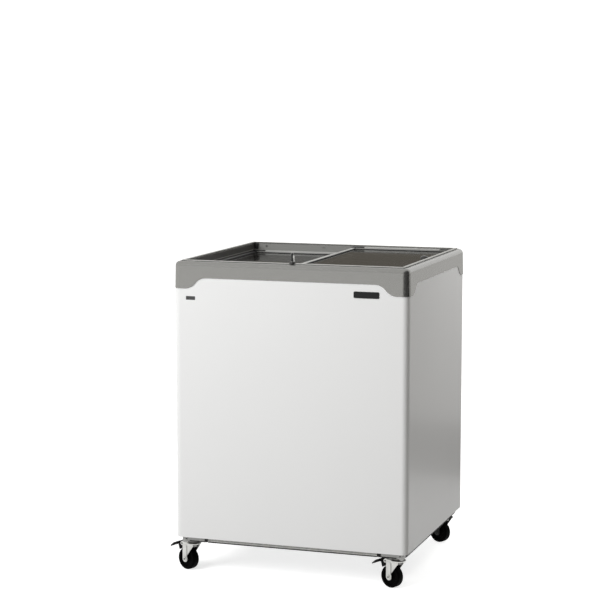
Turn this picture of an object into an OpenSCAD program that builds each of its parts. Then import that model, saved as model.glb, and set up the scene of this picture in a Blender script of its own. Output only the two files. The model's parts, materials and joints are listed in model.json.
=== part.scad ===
// Glass-top ice cream freezer on four swivel castors.
// Millimetres, +Z up, the front faces -Y, the floor is z = 0 and the
// cabinet's upright centre line is the Z axis.

/* [Cabinet] */
// Width of the steel cabinet
body_w = 700; // [660:5:780]
// Depth of the steel cabinet
body_d = 640; // [600:2:700]
// Height from the underside of the cabinet to the crest of the rim
body_h = 812; // [740:2:860]
// Radius of the upright corners
corner_r = 18; // [17:0.5:22]
// Thickness of the painted sheet
sheet_t = 1; // [0.8:0.1:1.4]
// Thickness of the insulated side walls
wall_t = 62; // [56:1:70]
// Thickness of the insulated floor
floor_t = 64; // [56:1:80]

/* [Rim] */
// Height of the rim from its straight lower edge to the crest
rim_h = 49; // [46:1:60]
// Width of the rim from the cabinet's face to the tracks
rim_w = 26; // [25:0.5:30]
// Radius of the rounded shoulder
shoulder_r = 13; // [9:0.5:14]
// How far the corner skirts hang below the straight edge
skirt_drop = 31; // [20:1:40]
// Width of each skirt's curved flank
skirt_flank = 64; // [45:1:80]
// Flat part of each skirt beside the corner
skirt_flat = 16; // [10:1:24]
// Wall of the skirts
skirt_t = 1.6; // [1.2:0.1:2.4]

/* [Tank] */
// Thickness of the tank's sheet
tank_t = 1; // [0.8:0.1:1.5]
// Radius of the tank's upright corners
tank_r = 24; // [15:1:40]
// Width of the machine compartment beside the tank
machine_w = 198; // [180:1:220]
// Height of the machine compartment
machine_h = 234; // [220:1:260]
// Outer diameter of the evaporator tube round the tank
coil_d = 8; // [6:0.5:10]
// Turns of the evaporator tube
coil_turns = 7; // [4:1:9]

/* [Lids] */
// Where the two closed lids meet, from the centre line
meet_x = 10; // [-20:1:20]
// Overlap of the two closed lids
lid_overlap = 16; // [10:1:24]
// Height of a lid's frame
lid_h = 16.4; // [15:0.2:20]
// Width of a lid's front and rear bars
bar_w = 14; // [12:0.5:18]
// Width of a lid's low end bars
end_bar_w = 11; // [9:0.5:14]
// Height of the end bars above the glass
end_rise = 4; // [3:0.5:5]
// Thickness of the glass
glass_t = 4; // [3:0.5:5]
// Height of the frame above the glass
glass_sink = 7; // [5:0.5:11]
// Length of the corner shoes
shoe_l = 40; // [30:1:60]
// Diameter of the finger grip
grip_d = 26; // [20:0.5:32]
// Height of the finger grip above the glass
grip_h = 11; // [8:0.5:14]
// How far the finger grip stands behind the lid's middle
grip_y = 45; // [0:1:120]

/* [Tracks] */
// Thickness of the track profiles
track_t = 1.5; // [1.2:0.1:2]
// Width of the upper ledge
upper_ledge = 8; // [6:0.5:10]
// Width of the lower ledge
lower_ledge = 12; // [10:0.5:16]
// Length of the rubber stops in the tracks
stop_l = 11; // [6:0.5:16]

/* [Lock] */
// Diameter of the lock's collar
lock_d = 18; // [16:0.5:20]
// Height of the collar above the rim
lock_h = 5; // [3:0.5:8]
// Diameter of the turning plug
plug_d = 7; // [6:0.5:8]
// Height of the key's grip
key_h = 22; // [18:1:28]

/* [Base] */
// Height of the rails under the cabinet
rail_h = 16; // [14:1:24]
// Depth of the rails' section
rail_w = 22; // [18:1:30]
// Inset of the front and rear rails from the cabinet's faces
rail_inset = 20; // [16:1:30]
// Inset of the side rails from the cabinet's faces
side_inset = 14; // [12:1:18]
// Thickness of the rails' steel
rail_t = 2; // [1.5:0.25:3]
// Side of the corner brackets
bracket_w = 74; // [72:1:80]

/* [Castors] */
// Height of a castor from the floor to the top of its head
castor_h = 93; // [88:1:100]
// Diameter of the wheels
wheel_d = 65; // [58:1:68]
// Width of the tread
wheel_w = 24; // [20:1:28]
// Offset of the wheel from the swivel axis
trail = 22; // [20:1:28]
// Direction in which the castors trail, from the +X axis
trail_angle = 157; // [0:1:359]
// Diameter of the swivel head
head_d = 40; // [38:1:46]
// Thickness of the fork's steel
fork_t = 2.5; // [2:0.25:3]
// Inset of the swivel axes from the cabinet's side faces
castor_x = 38; // [36:1:50]
// Inset of the swivel axes from the front and back faces
castor_y = 46; // [44:1:60]

/* [Machine] */
// Diameter of the compressor's shell
compressor_d = 150; // [120:2:160]
// Height of the compressor's shell
compressor_h = 160; // [120:2:170]
// Diameter of the thermostat's knob
knob_d = 28; // [20:1:32]
// Outer diameter of the drain outlet
drain_d = 18; // [14:0.5:24]

/* [Hidden] */
$fn = 48;

// Clearances
fit_gap = 0.2;       // between fixed sheets that lie on each other
run_gap = 0.3;       // between a lid and its track
bore_gap = 0.05;     // radial play of a shaft in its bore
cut = 1;             // how far a cutting shape runs past the face it cuts

// Heights
base_z = castor_h + rail_h;
crest_z = base_z + body_h;
trim_z = crest_z - rim_h;
skirt_z = trim_z - skirt_drop;
shoulder_z = crest_z - 2.5 - shoulder_r;
shell_top = shoulder_z - 7;
lid_top_z = crest_z - 4;
upper_z = lid_top_z - lid_h - run_gap;
lid_step = lid_h + run_gap + 2.8;
lower_z = upper_z - lid_step;
frame_z = lower_z - track_t - 4;
tank_top = frame_z;
tank_z = base_z + floor_t;

// Plan sizes
half_w = body_w / 2;
half_d = body_d / 2;
cavity_x = half_w - rim_w;
cavity_y = half_d - rim_w;
throat_x = cavity_x - lower_ledge;
throat_y = cavity_y - upper_ledge - lower_ledge;
tank_w = body_w - 2 * wall_t;
tank_d = body_d - 2 * wall_t;
machine_x = half_w - sheet_t - machine_w;
machine_y = half_d - wall_t;
hump_x = machine_x - wall_t + 10;
hump_z = base_z + machine_h + wall_t - 12;
liner_gap = coil_d + 0.6;
coil_z = hump_z + 40;
coil_step = (frame_z - 60 - coil_z) / coil_turns;

// Lids
lid_end = cavity_x - track_t - run_gap;
upper_half = cavity_y - track_t - run_gap;
lower_half = upper_half - upper_ledge;
glass_low = lid_h - glass_sink - glass_t;
glass_in = end_bar_w - 4;

// Plain area with four rounded corners
module rounded_area(w, d, r) {
    square([w - 2 * r, d], center = true);
    square([w, d - 2 * r], center = true);
    for (x = [-1, 1], y = [-1, 1])
        translate([x * (w / 2 - r), y * (d / 2 - r)])
            circle(r = r);
}

module rounded_block(w, d, h, r) {
    linear_extrude(h)
        rounded_area(w, d, r);
}

// Box between two opposite corners
module span(low, high) {
    translate(low)
        cube(high - low);
}

// Carries a section round a rounded rectangle. The section's x is measured
// outward from the corner's centre and its y is the height.
module carried_round(w, d, r) {
    for (k = [0 : 3]) {
        run = (k % 2 == 0 ? d : w) - 2 * r;
        out = (k % 2 == 0 ? w : d) / 2 - r;
        rotate([0, 0, 90 * k])
            translate([out, 0, 0])
                rotate([90, 0, 0])
                    linear_extrude(run, center = true)
                        children();
        rotate([0, 0, 90 * k])
            translate([out, run / 2, 0])
                rotate_extrude(angle = 90)
                    children();
    }
}

// Cabinet

module outer_shell() {
    color("white")
        translate([0, 0, base_z])
            difference() {
                rounded_block(body_w, body_d, shell_top - base_z, corner_r);
                translate([0, 0, -cut])
                    rounded_block(body_w - 2 * sheet_t, body_d - 2 * sheet_t,
                        shell_top - base_z + 2 * cut, corner_r - sheet_t);
                translate([-half_w + return_w, half_d - 4 * sheet_t, -cut])
                    cube([body_w - 2 * return_w, 8 * sheet_t, shell_top - base_z + 2 * cut]);
            }
}

return_w = 26;
louvre_w = 130;
louvre_h = 5;
louvre_step = 14;
louvre_count = 10;
louvre_x = machine_x + machine_w / 2;
louvre_z = base_z + 64;
panel_y = half_d - sheet_t - fit_gap - sheet_t;
control_x = machine_x - 60;
control_lift = 180;
control_z = base_z + control_lift;
control_w = 56;
control_t = 6;
gland_x = machine_x + 30;
gland_z = base_z + 30;
gland_r = 9;

module rear_panel() {
    side = return_w - 8;
    color("gainsboro")
        difference() {
            union() {
                span([-half_w + side, panel_y, base_z + 2 * sheet_t],
                    [half_w - side, panel_y + sheet_t, frame_z - fit_gap]);
                for (i = [0 : louvre_count - 1])
                    translate([louvre_x, panel_y + sheet_t, louvre_z + i * louvre_step])
                        louvre_hood();
            }
            for (i = [0 : louvre_count - 1])
                translate([louvre_x - louvre_w / 2, panel_y - cut, louvre_z + i * louvre_step])
                    cube([louvre_w, sheet_t + cut, louvre_h]);
            translate([gland_x, panel_y - cut, gland_z])
                rotate([-90, 0, 0])
                    cylinder(r = gland_r - 2 + fit_gap, h = 4 * sheet_t);
        }
}

// Pressed hood over one ventilation slot, open at its lower edge
module louvre_hood() {
    hood = 3.2;
    translate([-louvre_w / 2 - 2, 0, 0])
        rotate([90, 0, 90])
            linear_extrude(louvre_w + 4)
                polygon([[0, louvre_h + 3], [hood, 1], [hood, 0], [hood - 1, 0], [0, louvre_h + 1]]);
}

module base_pan() {
    color("silver")
        difference() {
            translate([0, 0, base_z])
                rounded_block(body_w - 2 * sheet_t - 2 * fit_gap,
                    body_d - 2 * sheet_t - 2 * fit_gap, 1.5, corner_r - sheet_t - fit_gap);
            translate([drain_x, drain_y, base_z - cut])
                cylinder(r = outlet_r + fit_gap, h = 4);
            for (x = [-1, 1], y = [-1, 1])
                translate([compressor_x + x * foot_x, compressor_y + y * foot_y, base_z - cut])
                    cylinder(r = foot_nib + fit_gap, h = 4);
        }
}

drain_x = -180;
drain_y = -90;
compressor_x = machine_x + machine_w / 2 - 1;
compressor_y = 110;
foot_x = 50;
foot_y = 80;
foot_h = 16;
foot_nib = 4;
box_w = 44;
box_h = 50;
box_out = 18;
box_lift = 60;
pan_top = base_z + 1.5;

// Insulation: boards round the tank, which leave the machine compartment free
module foam_core() {
    top = tank_top - tank_t - 2 * fit_gap;
    color("khaki")
        difference() {
            intersection() {
                translate([0, 0, pan_top])
                    rounded_block(body_w - 2 * (sheet_t + fit_gap),
                        body_d - 4 * (sheet_t + fit_gap), top - pan_top, corner_r - 3);
                foam_boards(top);
            }
            translate([0, 0, coil_z - 12])
                rounded_block(tank_w + 2 * liner_gap, tank_d + 2 * liner_gap,
                    coil_turns * coil_step + 24, tank_r + liner_gap);
            translate([drain_x, drain_y, base_z])
                cylinder(d = drain_d + 2 * fit_gap, h = floor_t + cut);
        }
}

// The boards as plain blocks: front and left; rear and right above the
// compartment; rear and floor beside it; the step's wall and its top
module foam_boards(top) {
    x = tank_w / 2 + fit_gap;
    y = tank_d / 2 + fit_gap;
    end_y = y - fit_gap;
    over_z = base_z + machine_h;
    floor_top = tank_z - fit_gap;
    step_top = hump_z - fit_gap;
    span([-half_w, -half_d, pan_top], [half_w, -y, top]);
    span([-half_w, -end_y, pan_top], [-x, end_y, top]);
    span([-half_w, y, over_z], [half_w, half_d, top]);
    span([x, -end_y, over_z], [half_w, end_y, top]);
    span([-half_w, y, pan_top], [machine_x, half_d, over_z - fit_gap]);
    span([-x + fit_gap, -end_y, pan_top], [machine_x, end_y, floor_top]);
    span([hump_x + fit_gap, -end_y, floor_top + fit_gap], [machine_x, end_y, step_top]);
    span([machine_x + fit_gap, -end_y, over_z], [x - fit_gap, end_y, step_top]);
}

// Space that the tank takes, with its step over the machine compartment
module tank_space(extra, top) {
    difference() {
        translate([0, 0, tank_z - extra])
            rounded_block(tank_w + 2 * extra, tank_d + 2 * extra, top - tank_z + extra,
                tank_r + extra);
        span([hump_x + extra, -half_d, tank_z - 10], [half_w, half_d, hump_z - extra]);
    }
}

module inner_liner() {
    color("silver")
        difference() {
            union() {
                tank_space(0, tank_top - fit_gap);
                translate([0, 0, tank_top - fit_gap - tank_t])
                    rounded_block(2 * throat_x, 2 * throat_y, tank_t, tank_r);
            }
            tank_hollow();
            translate([drain_x, drain_y, tank_z - cut])
                cylinder(r = drain_bore + 3, h = 4 * tank_t);
        }
}

module tank_hollow() {
    difference() {
        translate([0, 0, tank_z + tank_t])
            rounded_block(tank_w - 2 * tank_t, tank_d - 2 * tank_t, tank_top - tank_z,
                tank_r - tank_t);
        span([hump_x - tank_t, -half_d, tank_z - 10], [half_w, half_d, hump_z + tank_t]);
    }
}

// Evaporator: level turns round the tank, joined by short risers at the back
module evaporator_coil() {
    r = coil_d / 2;
    bend = tank_r + r + 0.3;
    color("peru")
        for (i = [0 : coil_turns])
            translate([0, 0, coil_z + i * coil_step]) {
                carried_round(tank_w + 2 * (r + 0.3), tank_d + 2 * (r + 0.3), bend)
                    translate([bend, 0])
                        circle(r = r);
                if (i < coil_turns)
                    translate([(i % 2 == 0 ? 30 : -30), tank_d / 2 + r + 0.3, 0])
                        cylinder(r = r - 0.5, h = coil_step);
            }
}

// Rim

// Outer part of the rim's section: hanging skirt, drafted face and shoulder
module rim_section() {
    face = corner_r + 0.4;
    inner = corner_r - 15;
    polygon([[corner_r + fit_gap, skirt_z], [corner_r + fit_gap + skirt_t, skirt_z],
        [face, shoulder_z], [face - shoulder_r, shoulder_z],
        [face - shoulder_r, shoulder_z + shoulder_r], [inner, shoulder_z + shoulder_r],
        [inner, shell_top + fit_gap], [corner_r + fit_gap, shell_top + fit_gap]]);
    translate([face - shoulder_r, shoulder_z])
        intersection() {
            circle(r = shoulder_r);
            square(shoulder_r);
        }
}

// Outline of the space under the straight edge, between two skirts: its
// flanks are S-curves of two equal arcs
module skirt_window(length) {
    half = length / 2 - corner_r - skirt_flat;
    bend_a = 2 * atan(skirt_drop / skirt_flank);
    bend_r = skirt_flank / 2 / sin(bend_a);
    steps = 8;
    flank = concat(
        [for (i = [0 : steps]) let (a = bend_a * i / steps)
            [half - bend_r * sin(a), -skirt_drop + bend_r * (1 - cos(a))]],
        [for (i = [steps - 1 : -1 : 0]) let (a = bend_a * i / steps)
            [half - skirt_flank + bend_r * sin(a), -bend_r * (1 - cos(a))]]);
    mirrored = [for (i = [len(flank) - 1 : -1 : 0]) [-flank[i][0], flank[i][1]]];
    translate([0, trim_z])
        polygon(concat([[half, -skirt_drop - cut]], flank, mirrored, [[-half, -skirt_drop - cut]]));
}

module top_frame() {
    core_in = 2 * (sheet_t + fit_gap);
    lip_in = 17;
    color("gray")
        difference() {
            union() {
                carried_round(body_w, body_d, corner_r)
                    rim_section();
                translate([0, 0, frame_z])
                    rounded_block(body_w - core_in, body_d - core_in, shoulder_z - 3 - frame_z,
                        corner_r - core_in / 2);
                translate([0, 0, shoulder_z - 5])
                    rounded_block(body_w - 20, body_d - 20, shoulder_r + 1, corner_r - 10);
                translate([0, 0, shoulder_z])
                    rounded_block(body_w - 2 * lip_in, body_d - 2 * lip_in,
                        crest_z - shoulder_z, 4);
            }
            for (turn = [0, 90])
                rotate([0, 0, turn])
                    rotate([90, 0, 0])
                        linear_extrude(body_w + body_d, center = true)
                            skirt_window(turn == 0 ? body_w : body_d);
            span([-cavity_x, -cavity_y, upper_z - track_t], [cavity_x, cavity_y, crest_z + cut]);
            span([-cavity_x, -cavity_y + upper_ledge, lower_z - track_t],
                [cavity_x, cavity_y - upper_ledge, crest_z]);
            span([-throat_x, -throat_y, frame_z - cut], [throat_x, throat_y, crest_z]);
            translate([lock_x, lock_y, crest_z - barrel_h - fit_gap])
                cylinder(r = barrel_r + fit_gap, h = barrel_h + 10);
        }
}

// Section of a track, from the rim's wall inward: wall, upper ledge, step
// and lower ledge, with a low gliding bead on each ledge
module track_section() {
    a = upper_ledge;
    b = upper_ledge + lower_ledge;
    t = track_t;
    polygon([[0, upper_z - t], [a, upper_z - t], [a, lower_z - t], [b, lower_z - t],
        [b, lower_z], [a + t, lower_z], [a + t, upper_z], [t, upper_z],
        [t, lid_top_z - 1], [0, lid_top_z]]);
}

module track(side) {
    color("darkgray")
        translate([0, side * cavity_y, 0])
            rotate([90, 0, side > 0 ? -90 : 90])
                linear_extrude(2 * cavity_x, center = true)
                    track_section();
}

module front_track() {
    track(-1);
}

module rear_track() {
    track(1);
}

// Upright liners and low ledges that close the two ends of the tracks
module end_rails() {
    end_y = throat_y;
    color("dimgray")
        for (side = [0, 1])
            mirror([side, 0, 0]) {
                span([cavity_x - track_t, -end_y, lower_z - track_t],
                    [cavity_x, end_y, lid_top_z]);
                span([throat_x, -end_y, lower_z - track_t],
                    [cavity_x - track_t, end_y, lower_z]);
            }
}

// Rubber stops: the upper pair at the left end, the lower pair at the right
module lid_stops() {
    far = cavity_x - fit_gap;
    color("black")
        for (side = [0, 1])
            mirror([0, side, 0]) {
                span([-far, upper_half + run_gap - upper_ledge + 1, upper_z],
                    [-far + stop_l, upper_half + run_gap, crest_z - 2]);
                span([far - stop_l, lower_half + run_gap - lower_ledge + 2.5, lower_z],
                    [far, lower_half + run_gap, lower_z + lid_h - 3]);
            }
}

// Lock

lock_x = 4;
lock_y = -half_d + 19;
barrel_r = 5.5;
barrel_h = 22;

module lock_housing() {
    color("silver")
        translate([lock_x, lock_y, crest_z])
            difference() {
                union() {
                    translate([0, 0, -barrel_h])
                        cylinder(r = barrel_r, h = barrel_h + cut);
                    cylinder(d = lock_d, h = lock_h - 1);
                    translate([0, 0, lock_h - 1])
                        cylinder(d1 = lock_d, d2 = lock_d - 2, h = 1);
                }
                translate([0, 0, -barrel_h + 2])
                    cylinder(r = plug_d / 2 + bore_gap, h = barrel_h + lock_h);
            }
}

module lock_plug() {
    color("dimgray")
        translate([lock_x, lock_y, crest_z])
            difference() {
                translate([0, 0, -barrel_h + 2.2])
                    cylinder(d = plug_d, h = barrel_h + lock_h - 1.9);
                translate([-0.9, -2.4, -14])
                    cube([1.8, 4.8, 30]);
            }
}

bow_t = 4;
bow_z = 2.5;
bow_hole = 2;
bow_hole_z = bow_z + key_h - 5;

// Key with a flat bow, its blade in the plug's keyway
module lock_key() {
    color("black")
        translate([lock_x, lock_y, crest_z + lock_h]) {
            translate([-0.75, -2.2, -16])
                cube([1.5, 4.4, 20]);
            translate([-bow_t / 2, 0, bow_z])
                rotate([90, 0, 90])
                    linear_extrude(bow_t)
                        difference() {
                            translate([0, key_h / 2])
                                rounded_area(12, key_h, 5);
                            translate([0, key_h - 5])
                                circle(r = bow_hole);
                        }
        }
}

// Spare key that hangs from the bow by a square wire link
module spare_key() {
    wire = 0.7;
    reach = bow_t / 2 + 1.4;
    rise = 6.6;
    color("silver")
        translate([lock_x, lock_y, crest_z + lock_h + bow_hole_z - 0.6]) {
            for (z = [0, rise])
                translate([-reach, 0, z])
                    rotate([0, 90, 0])
                        cylinder(r = wire, h = 2 * reach);
            for (x = [-reach, reach])
                translate([x, 0, 0])
                    cylinder(r = wire, h = rise);
            for (x = [-reach, reach], z = [0, rise])
                translate([x, 0, z])
                    sphere(r = wire);
            translate([reach, 0, 0])
                rotate([0, -8, 0]) {
                    translate([-0.6, 0, -6])
                        rotate([90, 0, 90])
                            linear_extrude(1.2)
                                rounded_area(10, 12, 4.5);
                    translate([-0.6, -3, -19])
                        cube([1.2, 6, 9]);
                }
        }
}

// Machine compartment

module compressor() {
    d = compressor_d;
    h = compressor_h;
    color("black")
        translate([compressor_x, compressor_y, pan_top + foot_h]) {
            translate([0, 0, 14])
                rotate_extrude()
                    difference() {
                        union() {
                            square([d / 2, h - 50]);
                            translate([0, h - 90])
                                square([d / 2 + 4, 5]);
                            translate([0, h - 50])
                                square([d / 2 - 32, 30]);
                            translate([d / 2 - 32, h - 52])
                                circle(r = 32);
                        }
                        translate([-d, -1])
                            square([d, 2 * h]);
                    }
            span([-foot_x - 14, -foot_y - 12, 0], [-foot_x + 14, foot_y + 12, 3]);
            span([foot_x - 14, -foot_y - 12, 0], [foot_x + 14, foot_y + 12, 3]);
            span([-foot_x + 13, -30, 0], [foot_x - 13, 30, 3]);
            translate([0, 0, 2])
                cylinder(r = 40, h = 14);
            span([-d / 2 - box_out, -box_w / 2, box_lift],
                [-d / 2 + 6, box_w / 2, box_lift + box_h]);
        }
}

module compressor_feet() {
    color("dimgray")
        for (x = [-1, 1], y = [-1, 1])
            translate([compressor_x + x * foot_x, compressor_y + y * foot_y, pan_top])
                rotate_extrude()
                    polygon([[0, -1.3], [foot_nib, -1.3], [foot_nib, 0], [13, 0], [13, 5],
                        [9, 8], [13, 11], [13, foot_h], [0, foot_h]]);
}

drier_r = 10;
drier_l = 90;
drier_cone = 10;
drier_end = 12;
drier_pipe = 3;
drier_lift = 60;
drier_y = -40;

module filter_drier() {
    shoulder = drier_l + drier_cone;
    color("peru")
        translate([machine_x + drier_r + 0.3, drier_y, pan_top + drier_lift])
            rotate([-90, 0, 0])
                rotate_extrude()
                    polygon([[0, -drier_cone - drier_end], [drier_pipe, -drier_cone - drier_end],
                        [drier_pipe, -drier_cone], [drier_r, 0], [drier_r, drier_l],
                        [drier_pipe, shoulder], [drier_pipe, shoulder + drier_end],
                        [0, shoulder + drier_end]]);
}

// Moulded plate on the rear panel with a raised ring round the knob
module thermostat_plate() {
    color("dimgray")
        translate([control_x, panel_y + sheet_t + fit_gap, control_z])
            rotate([-90, 0, 0])
                difference() {
                    union() {
                        rounded_block(control_w, control_w, control_t, 6);
                        cylinder(d = knob_d + 7, h = control_t + 2);
                    }
                    translate([0, 0, control_t])
                        cylinder(d = knob_d + 3, h = 2 + cut);
                    translate([0, 0, 1])
                        cylinder(r = stem_r + bore_gap, h = control_t);
                }
}

stem_r = 3;

module thermostat_knob() {
    color("black")
        translate([control_x, panel_y + sheet_t + fit_gap, control_z])
            rotate([-90, 0, 0])
                difference() {
                    union() {
                        translate([0, 0, 1.3])
                            cylinder(r = stem_r, h = control_t);
                        translate([0, 0, control_t + 0.4])
                            cylinder(d = knob_d, h = 4);
                        translate([0, 0, control_t + 4.4])
                            cylinder(d1 = knob_d - 4, d2 = knob_d - 6, h = 8);
                    }
                    for (a = [0 : 30 : 330])
                        rotate([0, 0, a])
                            translate([knob_d / 2 - 1.4, 0, control_t + 4.3])
                                cylinder(r = 1.8, h = 10);
                }
}

// Bushing for the mains lead in the rear panel
module cord_gland() {
    y = panel_y;
    color("black")
        translate([gland_x, y, gland_z])
            rotate([-90, 0, 0])
                difference() {
                    union() {
                        translate([0, 0, -5])
                            cylinder(r = gland_r - 2, h = 10);
                        translate([0, 0, sheet_t])
                            cylinder(r = gland_r, h = 4);
                        translate([0, 0, -5])
                            cylinder(r = gland_r, h = 4.8);
                    }
                    translate([0, 0, -6])
                        cylinder(r = 4, h = 20);
                }
}

drain_bore = drain_d / 2 - 3;
drain_out = 15;
neck_l = 3;
outlet_r = drain_d / 2 - 1;

// Tube through the floor's insulation; its shoulder stands on the pan, and
// its thinner outlet hangs below on a short neck
module drain_tube() {
    color("dimgray")
        translate([drain_x, drain_y, 0])
            difference() {
                union() {
                    translate([0, 0, base_z - drain_out])
                        cylinder(r = outlet_r, h = drain_out - neck_l);
                    translate([0, 0, base_z - drain_out])
                        cylinder(r = outlet_r - 1, h = drain_out + 4);
                    translate([0, 0, pan_top])
                        cylinder(d = drain_d, h = tank_z - fit_gap - pan_top);
                }
                translate([0, 0, base_z - drain_out - cut])
                    cylinder(r = drain_bore, h = drain_out + floor_t + 2 * cut);
            }
}

module drain_plug() {
    color("white")
        translate([drain_x, drain_y, tank_z + tank_t]) {
            translate([0, 0, -14])
                cylinder(r = drain_bore - bore_gap, h = 14 + cut);
            translate([0, 0, 0.2])
                cylinder(r = drain_bore + 5, h = 3);
            span([-1.5, -6, 3], [1.5, 6, 12]);
        }
}

// Base frame

// Open rail section, from its outer face inward: web with a shallow bead
// and two flanges
module rail_section() {
    t = rail_t;
    h = rail_h;
    polygon([[0, 0], [rail_w, 0], [rail_w, t], [t, t], [t, h * 0.3], [t - 1, h * 0.3 + 1],
        [t - 1, h * 0.7 - 1], [t, h * 0.7], [t, h - t], [rail_w, h - t], [rail_w, h], [0, h],
        [0, h * 0.7], [-1, h * 0.7 - 1], [-1, h * 0.3 + 1], [0, h * 0.3]]);
}

// A rail along one side, whose outer face is at distance out from the centre
module base_rail(turn, out, length) {
    color("darkgray")
        rotate([0, 0, turn])
            translate([out, 0, castor_h])
                rotate([90, 0, 180])
                    linear_extrude(length, center = true)
                        rail_section();
}

rail_x = half_w - side_inset;
rail_y = half_d - rail_inset;
rail_gap = 5;

module front_rail() {
    base_rail(-90, rail_y, 2 * (rail_x - bracket_w - rail_gap));
}

module rear_rail() {
    base_rail(90, rail_y, 2 * (rail_x - bracket_w - rail_gap));
}

module left_rail() {
    base_rail(180, rail_x, 2 * (rail_y - bracket_w - rail_gap));
}

module right_rail() {
    base_rail(0, rail_x, 2 * (rail_y - bracket_w - rail_gap));
}

bolt_r = 5;
nut_r = 9.5;
swivel_x = half_w - castor_x;
swivel_y = half_d - castor_y;
tab_w = 14;
tab_t = 2;
tab_drop = 5;
tab_hole = 11.5;
bracket_t = 3;

// Corner brackets: a floor plate for the castor, two outer walls and a tab
module castor_brackets() {
    color("silver")
        for (x = [0, 1], y = [0, 1])
            mirror([x, 0, 0])
                mirror([0, y, 0])
                    difference() {
                        union() {
                            span([rail_x - bracket_w, rail_y - bracket_w, castor_h],
                                [rail_x, rail_y, castor_h + bracket_t]);
                            span([rail_x - bracket_w, rail_y - bracket_t, castor_h],
                                [rail_x, rail_y, base_z]);
                            span([rail_x - bracket_t, rail_y - bracket_w, castor_h],
                                [rail_x, rail_y, base_z]);
                            translate([rail_x - tab_w / 2, rail_y + tab_t, castor_h - tab_drop])
                                bracket_tab();
                        }
                        translate([swivel_x, swivel_y, castor_h - cut])
                            cylinder(r = bolt_r + 0.2, h = bracket_t + 2 * cut);
                        translate([rail_x - tab_hole, rail_y - 10, castor_h + 7])
                            rotate([-90, 0, 0])
                                cylinder(r = 2.2, h = 20);
                    }
}

// Tab with a round lower end on the bracket's face
module bracket_tab() {
    translate([0, 0, tab_w / 2])
        rotate([90, 0, 0])
            linear_extrude(tab_t + 0.5) {
                circle(d = tab_w);
                translate([-tab_w / 2, 0])
                    square([tab_w, rail_h + tab_drop - tab_w / 2]);
            }
}

// One bolt through each castor's hollow kingpin, its nut on the bracket
module castor_bolts() {
    low = fork_low - king_flange - 0.1;
    color("gainsboro")
        for (x = [-1, 1], y = [-1, 1])
            translate([x * swivel_x, y * swivel_y, castor_h]) {
                translate([0, 0, low - 6])
                    cylinder(r = nut_r, h = 6, $fn = 6);
                translate([0, 0, low - cut])
                    cylinder(r = bolt_r, h = rail_h - 1 - low + cut);
                translate([0, 0, bracket_t + 0.1])
                    cylinder(r = nut_r + 2, h = 1.5);
                translate([0, 0, bracket_t + 1.5])
                    cylinder(r = nut_r, h = 7, $fn = 6);
            }
}

// Castors, each drawn round its swivel axis with z = 0 at the head's top
// and the wheel toward +X

head_t = 2.5;
race_r = head_d / 2;
king_r = 8;
king_flange = 3;
fork_top = -10;
fork_low = fork_top - 3;
race_z = fork_top + 0.4;
axle_r = 4;
axle_z = wheel_d / 2 - castor_h;
leg_in = wheel_w / 2 + 1.8;
leg_r = 9.5;
rib_t = 1;
pedal_u = trail + 17;
pedal_z = fork_low - 4;
pedal_pin = 2.5;
ear_in = 9;

module at_castor(x, y, turn = trail_angle) {
    translate([x * swivel_x, y * swivel_y, castor_h])
        rotate([0, 0, turn])
            children();
}

// Swivel head with the upper ball race and the riveted hollow kingpin
module castor_head() {
    color("silver")
        difference() {
            union() {
                translate([0, 0, -head_t])
                    cylinder(r = race_r + 1, h = head_t);
                translate([0, 0, race_z])
                    cylinder(r1 = race_r - 3, r2 = race_r, h = -race_z - head_t + 0.5);
                translate([0, 0, fork_low - 1])
                    cylinder(r = king_r, h = 12);
                translate([0, 0, fork_low - king_flange])
                    cylinder(r = king_r + 4, h = king_flange - fit_gap);
            }
            translate([0, 0, fork_low - king_flange - cut])
                cylinder(r = bolt_r + 0.2, h = king_flange - fork_low + 2 * cut);
        }
}

// Side view of a fork leg: a straight strip over the axle and a slanted web
module leg_outline() {
    circle(r = leg_r);
    translate([-leg_r, 0])
        square([2 * leg_r, fork_low - axle_z + 1]);
    polygon([[-leg_r + 0.1, 12], [-trail - 10, fork_low - axle_z - 6],
        [-trail - 10, fork_low - axle_z + 1], [-leg_r + 0.1, fork_low - axle_z + 1]]);
}

module castor_fork(brake) {
    deep = leg_in + fork_t;
    color("gainsboro")
        difference() {
            union() {
                translate([0, 0, fork_low])
                    cylinder(r = race_r + 2, h = 3);
                span([-8, -deep, fork_low], [trail + leg_r, deep, fork_low + 3]);
                for (side = [0, 1])
                    mirror([0, side, 0]) {
                        translate([trail, deep, axle_z])
                            rotate([90, 0, 0])
                                linear_extrude(fork_t)
                                    leg_outline();
                        translate([trail, deep + rib_t - 0.1, axle_z])
                            rotate([90, 0, 0])
                                linear_extrude(rib_t) {
                                    circle(r = leg_r - 1.5);
                                    translate([-leg_r + 1.5, 0])
                                        square([2 * leg_r - 3, fork_low - axle_z - 3]);
                                }
                    }
                if (brake)
                    for (side = [0, 1])
                        mirror([0, side, 0])
                            pedal_ear();
            }
            translate([0, 0, fork_low - cut])
                cylinder(r = king_r + bore_gap, h = 3 + 2 * cut);
            translate([trail, 0, axle_z])
                rotate([90, 0, 0])
                    cylinder(r = axle_r + bore_gap, h = 3 * deep, center = true);
            if (brake)
                translate([pedal_u, 0, pedal_z])
                    rotate([90, 0, 0])
                        cylinder(r = pedal_pin + bore_gap, h = 3 * deep, center = true);
        }
}

// Ear that carries one end of the pedal's pin
module pedal_ear() {
    translate([pedal_u, ear_in + fork_t, pedal_z])
        rotate([90, 0, 0])
            linear_extrude(fork_t) {
                circle(r = 5.5);
                polygon([[-16, 7], [-16, 4], [-4, -4.5], [0, 5.5], [0, 7]]);
            }
}

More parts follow.
